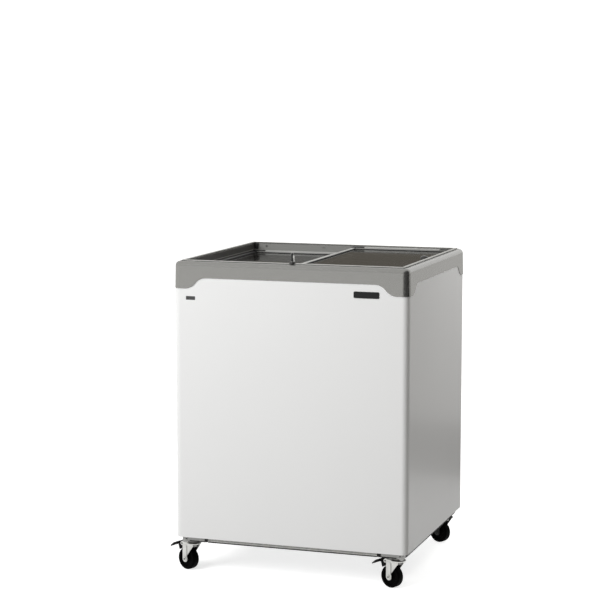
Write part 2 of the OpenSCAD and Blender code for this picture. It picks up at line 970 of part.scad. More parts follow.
// Rivet through the fork and wheel, with flat heads and dimpled ends
module castor_axle() {
    face = leg_in + fork_t + rib_t;
    color("silver")
        translate([trail, 0, axle_z])
            rotate([90, 0, 0])
                difference() {
                    union() {
                        cylinder(r = axle_r, h = 2 * face, center = true);
                        for (side = [0, 1])
                            mirror([0, 0, side])
                                translate([0, 0, face])
                                    cylinder(r = axle_r + 2, h = 1.4);
                    }
                    for (side = [0, 1])
                        mirror([0, 0, side])
                            translate([0, 0, face - 1])
                                cylinder(r = 2.6, h = 4);
                }
}

// Solid wheel: tread with rounded shoulders, dished sides and a hub
module castor_wheel() {
    r = wheel_d / 2;
    w = wheel_w / 2;
    color("black")
        translate([trail, 0, axle_z])
            rotate([90, 0, 0])
                rotate_extrude() {
                    polygon([[axle_r + bore_gap, -w - 1.2], [11, -w - 1.2], [11, -w + 3],
                        [21, -w + 3], [22.5, -w], [r - 4, -w], [r - 4, w], [22.5, w],
                        [21, w - 3], [11, w - 3], [11, w + 1.2], [axle_r + bore_gap, w + 1.2]]);
                    translate([r - 4, -w + 4])
                        square([4, 2 * w - 8]);
                    for (side = [0, 1])
                        mirror([0, side])
                            translate([r - 4, w - 4])
                                intersection() {
                                    circle(r = 4);
                                    square(4);
                                }
                }
}

// Brake pedal: an arm with its pin, a shoe that clears the tyre and a
// sloping tread plate
module castor_pedal() {
    tip_u = 90;
    tip_z = -33;
    tread_l = 25;
    color("black") {
        translate([0, ear_in - 0.4, 0])
            rotate([90, 0, 0])
                linear_extrude(2 * ear_in - 0.8) {
                    polygon([[pedal_u - 6, pedal_z - 2], [pedal_u - 7, pedal_z + 5],
                        [pedal_u - 4, -9.8], [pedal_u + 2, -9], [tip_u - 14, tip_z + 12],
                        [tip_u, tip_z + 1], [tip_u - 1, tip_z - 2], [tip_u - 16, tip_z + 7],
                        [pedal_u + 4, pedal_z - 3]]);
                    brake_shoe();
                }
        translate([tip_u - 21.8, 0, tip_z + 7.8])
            rotate([0, 28, 0])
                rounded_block(tread_l, 26, 3, 5);
        translate([pedal_u, 0, pedal_z])
            rotate([90, 0, 0])
                cylinder(r = pedal_pin, h = 2 * (ear_in + fork_t) - 0.4, center = true);
    }
}

// Side view of the shoe, a sector that keeps 4 mm from the tyre
module brake_shoe() {
    near = wheel_d / 2 + 4;
    intersection() {
        translate([trail, axle_z])
            difference() {
                circle(r = near + 14);
                circle(r = near);
            }
        polygon([[pedal_u, pedal_z], [pedal_u + 1, pedal_z - 20], [pedal_u + 13, pedal_z - 20],
            [pedal_u + 18, pedal_z - 4]]);
    }
}

// Lids

// Section of a lid's bar, from its outer edge inward, with the glass groove
module bar_section(w, high) {
    low = 0.6;
    g = glass_low;
    polygon([[0, low], [w, low], [w, g - 0.1], [glass_in, g - 0.1],
        [glass_in, g + glass_t + 0.1], [w, g + glass_t + 0.1], [w, high - 1],
        [w - 1, high], [1, high], [0, high - 1]]);
}

// Bar along X at the lid's front or rear edge
module cross_bar(left, right, edge, side, z) {
    translate([(left + right) / 2, side * edge, z])
        rotate([90, 0, side > 0 ? -90 : 90])
            linear_extrude(right - left - 2 * shoe_l, center = true)
                bar_section(bar_w, lid_h);
}

// Low bar along Y at the lid's left or right end
module end_bar(edge, side, half, z) {
    translate([edge, 0, z])
        rotate([90, 0, side > 0 ? 180 : 0])
            linear_extrude(2 * (half - bar_w), center = true)
                bar_section(end_bar_w, glass_low + glass_t + end_rise);
}

// Four corner shoes that glide in the tracks
module shoes(left, right, half, z) {
    for (y = [0, 1])
        mirror([0, y, 0])
            for (x0 = [left, right - shoe_l])
                difference() {
                    span([x0, half - bar_w, z], [x0 + shoe_l, half, z + lid_h]);
                    span([left + glass_in, -half, z + glass_low - 0.1],
                        [right - glass_in, half - glass_in, z + glass_low + glass_t + 0.1]);
                }
}

module pane(left, right, half, z) {
    edge = glass_in + fit_gap;
    translate([0, 0, z + glass_low])
        linear_extrude(glass_t)
            translate([(left + right) / 2, 0])
                square([right - left - 2 * edge, 2 * (half - edge)], center = true);
}

left_end = -lid_end;
left_inner = meet_x + lid_overlap / 2;
right_end = lid_end;
right_inner = meet_x - lid_overlap / 2;
left_z = lower_z + run_gap;
right_z = upper_z + run_gap;

module left_lid_glass() {
    color("lightsteelblue")
        pane(left_end, left_inner, lower_half, left_z);
}

module left_lid_front_bar() {
    color("silver")
        cross_bar(left_end, left_inner, lower_half, -1, left_z);
}

module left_lid_rear_bar() {
    color("silver")
        cross_bar(left_end, left_inner, lower_half, 1, left_z);
}

module left_lid_outer_bar() {
    color("dimgray")
        end_bar(left_end, -1, lower_half, left_z);
}

module left_lid_inner_bar() {
    color("silver")
        end_bar(left_inner, 1, lower_half, left_z);
}

module left_lid_shoes() {
    color("black")
        shoes(left_end, left_inner, lower_half, left_z);
}

module right_lid_glass() {
    color("lightsteelblue")
        pane(right_inner, right_end, upper_half, right_z);
}

module right_lid_front_bar() {
    color("silver")
        cross_bar(right_inner, right_end, upper_half, -1, right_z);
}

module right_lid_rear_bar() {
    color("silver")
        cross_bar(right_inner, right_end, upper_half, 1, right_z);
}

module right_lid_outer_bar() {
    color("dimgray")
        end_bar(right_end, 1, upper_half, right_z);
}

module right_lid_inner_bar() {
    color("silver")
        end_bar(right_inner, -1, upper_half, right_z);
}

module right_lid_shoes() {
    color("black")
        shoes(right_inner, right_end, upper_half, right_z);
}

// Round finger grip with a dished top, on the pane beside the outer bar
module right_lid_grip() {
    r = grip_d / 2;
    color("gray")
        translate([right_end - end_bar_w - 1 - r, grip_y, right_z + glass_low + glass_t])
            rotate_extrude()
                polygon([[0, 0], [r - 1, 0], [r - 1, grip_h - 3], [r, grip_h - 2], [r, grip_h - 1],
                    [r - 1, grip_h], [r - 2.5, grip_h], [r - 4, grip_h - 2.5], [0, grip_h - 4]]);
}

outer_shell();
rear_panel();
base_pan();
foam_core();
inner_liner();
evaporator_coil();
top_frame();
front_track();
rear_track();
end_rails();
lid_stops();
lock_housing();
compressor();
compressor_feet();
filter_drier();
thermostat_plate();
thermostat_knob();
cord_gland();
drain_tube();
drain_plug();
front_rail();
rear_rail();
left_rail();
right_rail();
castor_brackets();
castor_bolts();
left_lid_glass();
left_lid_front_bar();
left_lid_rear_bar();
left_lid_outer_bar();
left_lid_inner_bar();
left_lid_shoes();
right_lid_glass();
right_lid_front_bar();
right_lid_rear_bar();
right_lid_outer_bar();
right_lid_inner_bar();
right_lid_shoes();
right_lid_grip();
lock_plug();
lock_key();
spare_key();
at_castor(-1, -1, 0) castor_head();  // castor_fl_head
at_castor(-1, -1) castor_fork(true);  // castor_fl_fork
at_castor(-1, -1) castor_axle();  // castor_fl_axle
at_castor(-1, -1) castor_wheel();  // castor_fl_wheel
at_castor(-1, -1) castor_pedal();  // castor_fl_pedal
at_castor(1, -1, 0) castor_head();  // castor_fr_head
at_castor(1, -1) castor_fork(true);  // castor_fr_fork
at_castor(1, -1) castor_axle();  // castor_fr_axle
at_castor(1, -1) castor_wheel();  // castor_fr_wheel
at_castor(1, -1) castor_pedal();  // castor_fr_pedal
at_castor(-1, 1, 0) castor_head();  // castor_rl_head
at_castor(-1, 1) castor_fork(false);  // castor_rl_fork
at_castor(-1, 1) castor_axle();  // castor_rl_axle
at_castor(-1, 1) castor_wheel();  // castor_rl_wheel
at_castor(1, 1, 0) castor_head();  // castor_rr_head
at_castor(1, 1) castor_fork(false);  // castor_rr_fork
at_castor(1, 1) castor_axle();  // castor_rr_axle
at_castor(1, 1) castor_wheel();  // castor_rr_wheel
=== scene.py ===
# %% [markdown]
# # A glass-top ice cream freezer
# The solids of the freezer come from its CAD model as a fixed frame: each one has its real place
# and size already. This lesson dresses them. It gives every surface its finish, rounds the small
# edges that catch the light, and adds the thin trim that a solid model leaves out.

# %% Load the frame
import json
import math
import bmesh
import bpy
from mathutils import Matrix, Vector


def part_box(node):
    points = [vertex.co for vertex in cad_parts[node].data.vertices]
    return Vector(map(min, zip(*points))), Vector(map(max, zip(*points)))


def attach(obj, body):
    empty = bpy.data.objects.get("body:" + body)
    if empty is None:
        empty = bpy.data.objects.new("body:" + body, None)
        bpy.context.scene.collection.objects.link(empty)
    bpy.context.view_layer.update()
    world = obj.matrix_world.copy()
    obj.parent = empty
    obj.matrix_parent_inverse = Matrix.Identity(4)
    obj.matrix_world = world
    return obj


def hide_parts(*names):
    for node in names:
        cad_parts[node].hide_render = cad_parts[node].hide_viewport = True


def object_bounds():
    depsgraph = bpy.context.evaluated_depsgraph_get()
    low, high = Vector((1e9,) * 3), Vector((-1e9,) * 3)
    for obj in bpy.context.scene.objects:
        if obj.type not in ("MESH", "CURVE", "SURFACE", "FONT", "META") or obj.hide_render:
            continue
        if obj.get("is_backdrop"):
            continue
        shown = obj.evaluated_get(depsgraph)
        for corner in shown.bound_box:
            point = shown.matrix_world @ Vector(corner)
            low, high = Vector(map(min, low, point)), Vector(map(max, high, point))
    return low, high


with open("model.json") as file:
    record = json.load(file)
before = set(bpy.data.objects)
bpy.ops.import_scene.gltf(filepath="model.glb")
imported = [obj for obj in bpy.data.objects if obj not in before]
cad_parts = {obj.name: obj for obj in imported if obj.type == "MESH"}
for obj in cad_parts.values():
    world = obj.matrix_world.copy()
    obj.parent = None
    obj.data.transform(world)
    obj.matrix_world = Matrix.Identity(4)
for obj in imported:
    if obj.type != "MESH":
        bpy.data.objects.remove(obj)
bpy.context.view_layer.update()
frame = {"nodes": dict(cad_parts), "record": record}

MM = 0.001
FULL_TURN = 2 * math.pi
scene = bpy.context.scene
nodes = frame["nodes"]

# %% [markdown]
# ## Sizes taken from the frame
# Nothing is typed twice. The cabinet's faces, its underside and the crest of the rim are read
# from the boxes of the nodes, so the trim follows if the model changes.

# %% Read the main sizes
shell_low, shell_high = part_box("outer_shell")
front_y, base_z = shell_low.y, shell_low.z
crest_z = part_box("top_frame")[1].z
track_low, track_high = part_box("front_track")
opening_x, opening_y = track_high.x, -track_low.y
print("cabinet %.3f x %.3f m, crest at %.3f m"
      % (shell_high.x - shell_low.x, shell_high.y - shell_low.y, crest_z))

# %% [markdown]
# ## Camera
# The photograph was taken from the right of the front, from a little above the lids, with a long
# lens. A long lens keeps the sides nearly parallel. The lens and the place were worked out from
# the edges of the cabinet, as a surveyor does, for a square picture.

# %% Set up the camera
PICTURE = 600
SENSOR = 36.0
LENS_PIXELS = 1864.0
CAMERA_TURN = math.radians(18.65)
CAMERA_PITCH = math.radians(7.0)
ASIDE, AWAY, ABOVE_BASE = 0.071, 5.521, 1.351

camera_data = bpy.data.cameras.new("camera")
camera = bpy.data.objects.new("camera", camera_data)
scene.collection.objects.link(camera)
camera_data.sensor_width = SENSOR
camera_data.lens = SENSOR * LENS_PIXELS / PICTURE
turn_c, turn_s = math.cos(CAMERA_TURN), math.sin(CAMERA_TURN)
camera.location = (AWAY * turn_s - ASIDE * turn_c, -AWAY * turn_c - ASIDE * turn_s,
                   ABOVE_BASE + base_z)
looking = Vector((-turn_s * math.cos(CAMERA_PITCH), turn_c * math.cos(CAMERA_PITCH),
                  -math.sin(CAMERA_PITCH)))
camera.rotation_euler = looking.to_track_quat("-Z", "Y").to_euler()
scene.camera = camera
print("camera at", [round(v, 3) for v in camera.location], "lens %.1f mm" % camera_data.lens)

# %% [markdown]
# ## Shared effects
# Real surfaces are never one flat colour. Four small effects are used again and again, so each is
# a node group with named inputs. Three helpers keep the trees short: one starts a group, one
# places a node, and one draws the wires between sockets. A fourth darkens a colour by a mask.

# %% Helpers for node trees
FLOAT, COLOUR, VECTOR = "NodeSocketFloat", "NodeSocketColor", "NodeSocketVector"


def effect_group(name, inputs, outputs):
    tree = bpy.data.node_groups.new(name, "ShaderNodeTree")
    for label, kind, value in inputs:
        tree.interface.new_socket(label, in_out="INPUT", socket_type=kind).default_value = value
    for label, kind in outputs:
        tree.interface.new_socket(label, in_out="OUTPUT", socket_type=kind)
    print("effect:", name)
    return tree, tree.nodes.new("NodeGroupInput"), tree.nodes.new("NodeGroupOutput")


def place(tree, kind, values=(), **settings):
    """A new node; values are (input, number) pairs."""
    node = tree.nodes.new(kind)
    for key, value in settings.items():
        setattr(node, key, value)
    for label, value in values:
        node.inputs[label].default_value = value
    return node


def wire(tree, *links):
    """links: node, its output, next node, its input."""
    for source, out, target, into in links:
        tree.links.new(source.outputs[out], target.inputs[into])


def darkened(tree, enter, amount, mask, mask_out, leave, ends=()):
    """Scales a group's Colour by a mask, from one minus the amount up to one."""
    darkest = place(tree, "ShaderNodeMath", [(0, 1.0)], operation="SUBTRACT")
    spread = place(tree, "ShaderNodeMapRange", ends)
    times = place(tree, "ShaderNodeVectorMath", operation="SCALE")
    wire(tree, (enter, amount, darkest, 1), (darkest, 0, spread, "To Min"),
         (mask, mask_out, spread, "Value"), (enter, "Colour", times, 0),
         (spread, "Result", times, "Scale"), (times, "Vector", leave, "Colour"))

# %% [markdown]
# ### Grain
# Moulded plastic and sprayed paint have a relief too fine to model. A noise texture stands for it.
# The group puts out a height, and each material decides how strongly a Bump node reads it.

# %% Grain: a fine relief
grain, enter, leave = effect_group(
    "fine grain", [("Scale", FLOAT, 400.0), ("Detail", FLOAT, 2.0)], [("Height", FLOAT)])
where = place(grain, "ShaderNodeTexCoord")
noise = place(grain, "ShaderNodeTexNoise")
wire(grain, (where, "Object", noise, "Vector"), (enter, "Scale", noise, "Scale"),
     (enter, "Detail", noise, "Detail"), (noise, "Fac", leave, "Height"))

# %% [markdown]
# ### Drift
# Handling, dust and uneven pigment change a tone slowly across a piece. A large, soft noise darkens
# the colour by no more than a named amount.

# %% Drift: a slow change of tone
drift, enter, leave = effect_group(
    "tone drift", [("Colour", COLOUR, (1, 1, 1, 1)), ("Scale", FLOAT, 3.0),
                   ("Amount", FLOAT, 0.03)], [("Colour", COLOUR)])
where = place(drift, "ShaderNodeTexCoord")
noise = place(drift, "ShaderNodeTexNoise", [("Detail", 3.0)])
wire(drift, (where, "Object", noise, "Vector"), (enter, "Scale", noise, "Scale"))
darkened(drift, enter, "Amount", noise, "Fac", leave, [("From Min", 0.3), ("From Max", 0.7)])

# %% [markdown]
# ### Streaks
# Drawn aluminium bars carry fine lines along their length. The same noise, stretched along one
# axis, varies both the roughness and the height, so that the gloss breaks up along the bar.

# %% Streaks: drawn metal
streaks, enter, leave = effect_group(
    "brush streaks", [("Stretch", VECTOR, (2, 300, 300)), ("Roughness", FLOAT, 0.35),
                      ("Spread", FLOAT, 0.12)], [("Roughness", FLOAT), ("Height", FLOAT)])
where = place(streaks, "ShaderNodeTexCoord")
stretch = place(streaks, "ShaderNodeMapping")
noise = place(streaks, "ShaderNodeTexNoise", [("Scale", 1.0), ("Detail", 4.0)])
rough = place(streaks, "ShaderNodeMath", operation="MULTIPLY_ADD")
wire(streaks, (where, "Object", stretch, "Vector"), (enter, "Stretch", stretch, "Scale"),
     (stretch, "Vector", noise, "Vector"), (noise, "Fac", rough, 0),
     (enter, "Spread", rough, 1), (enter, "Roughness", rough, 2),
     (rough, 0, leave, "Roughness"), (noise, "Fac", leave, "Height"))

# %% [markdown]
# ### Zinc flowers
# Hot-dip galvanised steel shows crystals of zinc, each with its own grey. A Voronoi texture gives
# such cells, and one channel of its colour is a random grey for each of them.

# %% Zinc flowers: galvanised steel
zinc, enter, leave = effect_group(
    "zinc flowers", [("Colour", COLOUR, (0.5, 0.5, 0.5, 1)), ("Size", FLOAT, 90.0),
                     ("Contrast", FLOAT, 0.25)], [("Colour", COLOUR)])
where = place(zinc, "ShaderNodeTexCoord")
crystals = place(zinc, "ShaderNodeTexVoronoi")
tone = place(zinc, "ShaderNodeSeparateColor")
wire(zinc, (where, "Object", crystals, "Vector"), (enter, "Size", crystals, "Scale"),
     (crystals, "Color", tone, "Color"))
darkened(zinc, enter, "Contrast", tone, 0, leave)

# %% [markdown]
# ## Finishes
# A finish is one Principled shader with a few of the shared effects in front of it. Numbers that
# are the same all over the piece sit on the shader's own sockets, so that an export keeps them.

# %% Helpers for finishes
def plain_finish(name, colour, roughness, metallic=0.0, coat=0.0, specular=0.5):
    material = bpy.data.materials.new(name)
    material.use_nodes = True
    shader = material.node_tree.nodes["Principled BSDF"]
    shader.inputs["Base Color"].default_value = (*colour, 1.0)
    for label, value in (("Roughness", roughness), ("Metallic", metallic), ("Coat Weight", coat),
                         ("Coat Roughness", 0.08), ("Specular IOR Level", specular)):
        shader.inputs[label].default_value = value
    print("finish:", name)
    return material


def effect(material, group, links, **values):
    """Places a shared effect and wires its outputs to the shader."""
    tree = material.node_tree
    node = place(tree, "ShaderNodeGroup", node_tree=group)
    for label, value in values.items():
        node.inputs[label].default_value = value
    wire(tree, *[(node, out, tree.nodes["Principled BSDF"], into) for out, into in links])
    return node


def with_relief(material, source, strength, distance):
    tree = material.node_tree
    bump = place(tree, "ShaderNodeBump", [("Strength", strength), ("Distance", distance)])
    wire(tree, (source, "Height", bump, "Height"),
         (bump, "Normal", tree.nodes["Principled BSDF"], "Normal"))


def with_grain(material, scale, strength, distance=0.0004, detail=2.0):
    """A fine relief: waves per metre, how strong, and how deep in metres."""
    with_relief(material, effect(material, grain, [], Scale=scale, Detail=detail), strength,
                distance)


def toned(name, colour, roughness, scale, amount, **more):
    """A finish whose colour drifts: waves per metre, and the share that it darkens by."""
    material = plain_finish(name, colour, roughness, **more)
    effect(material, drift, [("Colour", "Base Color")], Colour=(*colour, 1.0), Scale=scale,
           Amount=amount)
    return material

# %% [markdown]
# ### Painted sheet and moulded plastic
# The cabinet is coil-coated steel: a glossy white with the faint ripple that painters call
# orange peel. The rim is moulded in a silver-grey plastic with metal flakes in it and a fine
# spark-eroded grain, and the shoes, stops and collar are the same idea in near-black.

# %% Paint
white_paint = toned("white enamel", (0.83, 0.83, 0.825), 0.32, 2.2, 0.012, coat=0.05,
                    specular=0.2)
with_grain(white_paint, 260.0, 0.04, 0.0006)
black_paint = toned("black enamel", (0.0045, 0.0045, 0.0045), 0.40, 30.0, 0.3, specular=0.04)
with_grain(black_paint, 500.0, 0.06, 0.0005)

# %% Moulded plastics
def moulded(name, colour, roughness, grain_scale, relief, tone=0.03, **more):
    """Plastic from a mould: its grain and relief, and how much its tone drifts."""
    material = toned(name, colour, roughness, 6.0, tone, **more)
    with_grain(material, grain_scale, relief, detail=3.0)
    return material


rim_plastic = moulded("silver-grey rim plastic", (0.272, 0.27, 0.257), 0.27, 900.0, 0.08,
                      metallic=0.75)
edging_grey = moulded("light edging plastic", (0.46, 0.46, 0.44), 0.30, 900.0, 0.04)
track_plastic = moulded("grey track plastic", (0.23, 0.23, 0.22), 0.38, 900.0, 0.08)
# painted shade: the end rails are near black for the shade that falls on the opening's end walls
shaded_end_rail_plastic = moulded("end rail plastic with painted shade", (0.030, 0.028, 0.025), 0.40, 900.0, 0.08)
collar_plastic = moulded("dark lock collar", (0.035, 0.034, 0.032), 0.35, 900.0, 0.05)
# light grey for the shoe facings, and for the painted highlights on the end rails and the grip
facing_and_highlight_grey = moulded("grey facing and highlight plastic", (0.30, 0.30, 0.285), 0.45, 900.0, 0.05)
shoe_plastic = moulded("black shoe plastic", (0.016, 0.016, 0.016), 0.40, 1100.0, 0.15, 0.2)
rubber = moulded("black rubber", (0.02, 0.02, 0.02), 0.62, 700.0, 0.20, 0.25)
grip_plastic = moulded("dark grip plastic", (0.030, 0.029, 0.027), 0.34, 900.0, 0.06)
knob_plastic = moulded("grey knob plastic", (0.20, 0.20, 0.195), 0.34, 900.0, 0.06)
drain_plastic = moulded("grey pipe plastic", (0.30, 0.30, 0.30), 0.40, 500.0, 0.08)
plug_rubber = moulded("white plug rubber", (0.72, 0.71, 0.68), 0.55, 600.0, 0.12)
key_plastic = moulded("black key plastic", (0.010, 0.010, 0.010), 0.26, 900.0, 0.08, 0.2)
plate_plastic = moulded("black badge plastic", (0.004, 0.004, 0.004), 0.30, 400.0, 0.02, 0.2,
                        specular=0.25)
label_foil = moulded("dark label foil", (0.045, 0.045, 0.045), 0.45, 500.0, 0.03, 0.15)
mark_white = moulded("white print", (0.75, 0.75, 0.73), 0.5, 600.0, 0.02)
# painted shade: a near-black for the shade along the rails, in their end gaps, in press lines and
# in rivet dimples
painted_shade_black = moulded("painted shade black", (0.020, 0.020, 0.019), 0.6, 700.0, 0.1, 0.2, specular=0.2)
# painted shade: a dark grey for the shade in the rails' middle groove
groove_shade_grey = moulded("painted groove shade", (0.17, 0.17, 0.16), 0.5, 700.0, 0.1, 0.2)
foam = moulded("insulating foam", (0.80, 0.68, 0.36), 0.85, 160.0, 0.6, 0.12)

# %% Wheels: black plastic whose tone drifts a little
tyre = toned("black wheel plastic", (0.0016, 0.0016, 0.0016), 0.5, 45.0, 0.35, specular=0.02)
with_grain(tyre, 650.0, 0.12, detail=4.0)

# %% [markdown]
# ### Metals
# Each metal has its own maker's mark: drawn bars have streaks along them, galvanised sheet has
# zinc flowers, and plated castors are smooth with a soft waviness from the press. Dull metal in a
# bright room is easier to match with a Metallic below one, because part of its light is scattered.

# %% Drawn aluminium for the lids and the tank
def drawn(name, colour, roughness, stretch, metallic):
    """Drawn metal: the streaks are long where a number of stretch is small."""
    spread = 0.10
    material = toned(name, colour, roughness, 9.0, 0.05, metallic=metallic)
    lines = effect(material, streaks, [("Roughness", "Roughness")], Stretch=stretch,
                   Roughness=roughness - spread / 2, Spread=spread)
    with_relief(material, lines, 0.10, 0.0002)
    return material


bar_along_x = drawn("satin aluminium along x", (0.46, 0.46, 0.445), 0.50, (3, 700, 700), 0.35)
bar_along_y = drawn("satin aluminium along y", (0.46, 0.46, 0.445), 0.46, (700, 3, 700), 0.5)
liner_sheet = drawn("liner aluminium", (0.62, 0.62, 0.61), 0.45, (120, 120, 4), 0.4)

# %% Galvanised sheet and rails
def galvanised(name, colour, roughness, size, contrast, metallic):
    """Zinc-coated steel: flowers per metre, and the share that the darkest lose."""
    material = plain_finish(name, colour, roughness, metallic=metallic)
    effect(material, zinc, [("Colour", "Base Color")], Colour=(*colour, 1.0), Size=size,
           Contrast=contrast)
    with_grain(material, 300.0, 0.08)
    return material


rail_steel = galvanised("galvanised rail", (0.60, 0.60, 0.575), 0.45, 160.0, 0.22, 0.4)
panel_steel = galvanised("galvanised panel", (0.50, 0.51, 0.51), 0.45, 150.0, 0.11, 0.9)
zinc_steel = galvanised("zinc-plated steel", (0.34, 0.34, 0.33), 0.40, 420.0, 0.14, 0.5)

# %% Plated and copper parts
def plated(name, colour, roughness, waviness=0.10):
    """Plated or bare metal, smooth but for a soft waviness."""
    material = toned(name, colour, roughness, 22.0, 0.06, metallic=1.0)
    with_grain(material, 130.0, waviness, detail=3.0)
    return material


nickel = plated("nickel plate", (0.52, 0.52, 0.50), 0.30)
plug_brass = plated("dark lock brass", (0.16, 0.15, 0.13), 0.30, 0.05)
# painted shade: the rear forks and axles are near black for the shade under the back of the cabinet
shaded_rear_castor_steel = plated("rear castor steel with painted shade", (0.030, 0.030, 0.029), 0.40)
# painted shade: the swivel heads are darkened for the shade under the brackets
shaded_head_steel = plated("race steel with painted shade", (0.15, 0.148, 0.14), 0.35, 0.12)
screw_steel = plated("screw steel", (0.30, 0.30, 0.29), 0.30, 0.06)
copper = plated("copper tube", (0.72, 0.40, 0.25), 0.30, 0.15)

# %% [markdown]
# ### Glass
# The lids are thin tempered panes with a grey-brown tint that keeps heat out. The body of the tint
# is a dark colour, and Alpha lets part of the tank show through. A plain number on the shader's
# own socket survives an export.

# %% Tinted pane
pane_glass = toned("tinted lid glass", (0.036, 0.035, 0.032), 0.05, 4.0, 0.10, specular=0.25)
pane_glass.node_tree.nodes["Principled BSDF"].inputs["Alpha"].default_value = 0.74

# %% [markdown]
# ## Dress the frame
# Each CAD node gets the finish of the real piece, from one table that reads like a parts list.
# The nodes stay where they are.

# %% Give each node its finish
castors, braked = ("fl", "fr", "rl", "rr"), ("fl", "fr")
finish_by_node = {
    "outer_shell": white_paint, "rear_panel": panel_steel, "base_pan": panel_steel,
    "foam_core": foam, "inner_liner": liner_sheet, "evaporator_coil": copper,
    "filter_drier": copper, "top_frame": rim_plastic, "front_track": track_plastic,
    "rear_track": track_plastic, "end_rails": shaded_end_rail_plastic, "lid_stops": rubber,
    "lock_housing": collar_plastic, "lock_plug": plug_brass, "lock_key": key_plastic,
    "spare_key": nickel, "compressor": black_paint, "compressor_feet": rubber,
    "thermostat_plate": shoe_plastic, "thermostat_knob": knob_plastic, "cord_gland": rubber,
    "drain_tube": drain_plastic, "drain_plug": plug_rubber, "castor_brackets": zinc_steel,
    "castor_bolts": zinc_steel, "right_lid_grip": grip_plastic,
}
for side in ("front", "rear", "left", "right"):
    finish_by_node[side + "_rail"] = rail_steel
for lid in ("left_lid", "right_lid"):
    for piece, finish in (("glass", pane_glass), ("shoes", shoe_plastic),
                          ("front_bar", bar_along_x), ("rear_bar", bar_along_x),
                          ("outer_bar", shoe_plastic), ("inner_bar", bar_along_y)):
        finish_by_node["%s_%s" % (lid, piece)] = finish
for corner in castors:
    # the rear castors get the near-black steel of painted shade
    metal = nickel if corner in braked else shaded_rear_castor_steel
    for piece, finish in (("fork", metal), ("axle", metal), ("head", shaded_head_steel),
                          ("wheel", tyre)):
        finish_by_node["castor_%s_%s" % (corner, piece)] = finish
for corner in braked:
    finish_by_node["castor_%s_pedal" % corner] = black_paint

for name, node in nodes.items():
    node.data.materials.clear()
    node.data.materials.append(finish_by_node[name])
print("dressed:", len(finish_by_node), "nodes")

# %% [markdown]
# ## Rounded edges
# A pressed or moulded edge is never razor sharp, and its small round is what catches the light.
# A copy of the node is joined into one skin, its flat faces are merged, and a Bevel modifier
# rounds what is left. The copy rides on the node's body and stands for the node.

# %% Helpers that end a mesh and hang it on its body
body_by_node = {n: b for b, members in frame["record"]["behaviour"]["bodies"].items()
                for n in members}


def add_object(name, mesh, body, finish):
    made = bpy.data.objects.new(name, mesh)
    scene.collection.objects.link(made)
    mesh.materials.clear()
    mesh.materials.append(finish)
    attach(made, body)
    print(name, "on", body, "with", len(mesh.polygons), "faces")
    return made


def mesh_of(build, name, outward=True):
    """Turns a finished bmesh into a plain mesh, with its faces outwards."""
    if outward:
        bmesh.ops.recalc_face_normals(build, faces=build.faces)
    mesh = bpy.data.meshes.new(name)
    build.to_mesh(mesh)
    build.free()
    return mesh


def smoothed(mesh, sharp_from):
    mesh.polygons.foreach_set("use_smooth", [True] * len(mesh.polygons))
    mesh.set_sharp_from_angle(angle=math.radians(sharp_from))
    return mesh


def evaluated(work):
    """The plain mesh that an object's modifiers make; the object goes."""
    shown = bpy.data.meshes.new_from_object(
        work.evaluated_get(bpy.context.evaluated_depsgraph_get()))
    bpy.data.objects.remove(work)
    return shown

# %% A helper that softens a node
def flat_skin(node_name):
    """A bmesh copy of a node with its loose triangles merged into flat faces."""
    skin = bmesh.new()
    skin.from_mesh(nodes[node_name].data)
    bmesh.ops.remove_doubles(skin, verts=skin.verts, dist=0.00001)
    bmesh.ops.dissolve_limit(skin, angle_limit=math.radians(1.0), verts=skin.verts,
                             edges=skin.edges)
    return skin


def soften(node_name, width):
    mesh = mesh_of(flat_skin(node_name), node_name + "_soft", outward=False)
    work = bpy.data.objects.new(node_name + "_work", mesh)
    scene.collection.objects.link(work)
    rounding = work.modifiers.new("round", "BEVEL")
    rounding.width = width
    rounding.segments = 2
    rounding.limit_method = "ANGLE"
    rounding.angle_limit = math.radians(28)
    rounding.harden_normals = False
    rounding.use_clamp_overlap = True
    shown = evaluated(work)
    shown.name = node_name + "_soft"
    piece = add_object(node_name + "_soft", smoothed(shown, 40), body_by_node[node_name],
                       finish_by_node[node_name])
    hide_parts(node_name)

# %% Soften what the eye is close to
softened = {"lock_key": 0.7 * MM, "spare_key": 0.2 * MM, "lid_stops": 0.6 * MM}
for side in ("front", "rear", "left", "right"):
    softened[side + "_rail"] = 0.8 * MM
for lid in ("left_lid", "right_lid"):
    softened[lid + "_shoes"] = 0.9 * MM
    for bar in ("front", "rear", "outer", "inner"):
        softened["%s_%s_bar" % (lid, bar)] = 0.6 * MM
for corner in castors:
    softened["castor_%s_fork" % corner] = 0.5 * MM
for corner in braked:
    softened["castor_%s_pedal" % corner] = 0.8 * MM
softened["castor_brackets"] = 0.6 * MM
for name, width in softened.items():
    soften(name, width)
print("softened:", len(softened), "nodes")

# %% [markdown]
# ## Trim made in mesh code
# The thin trim is too small for the solid model: a light edging strip on the rim's crest with a
# black strip of painted shade in the crease below it. Each keeps one section along its run, so the
# section is swept: a ring of points is set at each place along the run, and neighbouring rings are
# joined by faces.

# %% A section swept along a run of points
def bridge(build, rings):
    """Joins each ring of vertices to the next with four-sided faces."""
    for one, two in zip(rings, rings[1:]):
        for i in range(len(one)):
            j = (i + 1) % len(one)
            build.faces.new((one[i], one[j], two[j], two[i]))


def closed_tube(name, rings_of_points):
    """Rings joined in a row, with both ends closed."""
    build = bmesh.new()
    rings = [[build.verts.new(point) for point in ring] for ring in rings_of_points]
    bridge(build, rings)
    build.faces.new(rings[0])
    build.faces.new(rings[-1])
    return mesh_of(build, name)


def sweep_section(name, run, section):
    """run: plan points with an outward direction each; section: (outward, up) pairs."""
    return closed_tube(name, [[(x + ox * a, y + oy * a, b) for a, b in section]
                              for x, y, ox, oy in run])


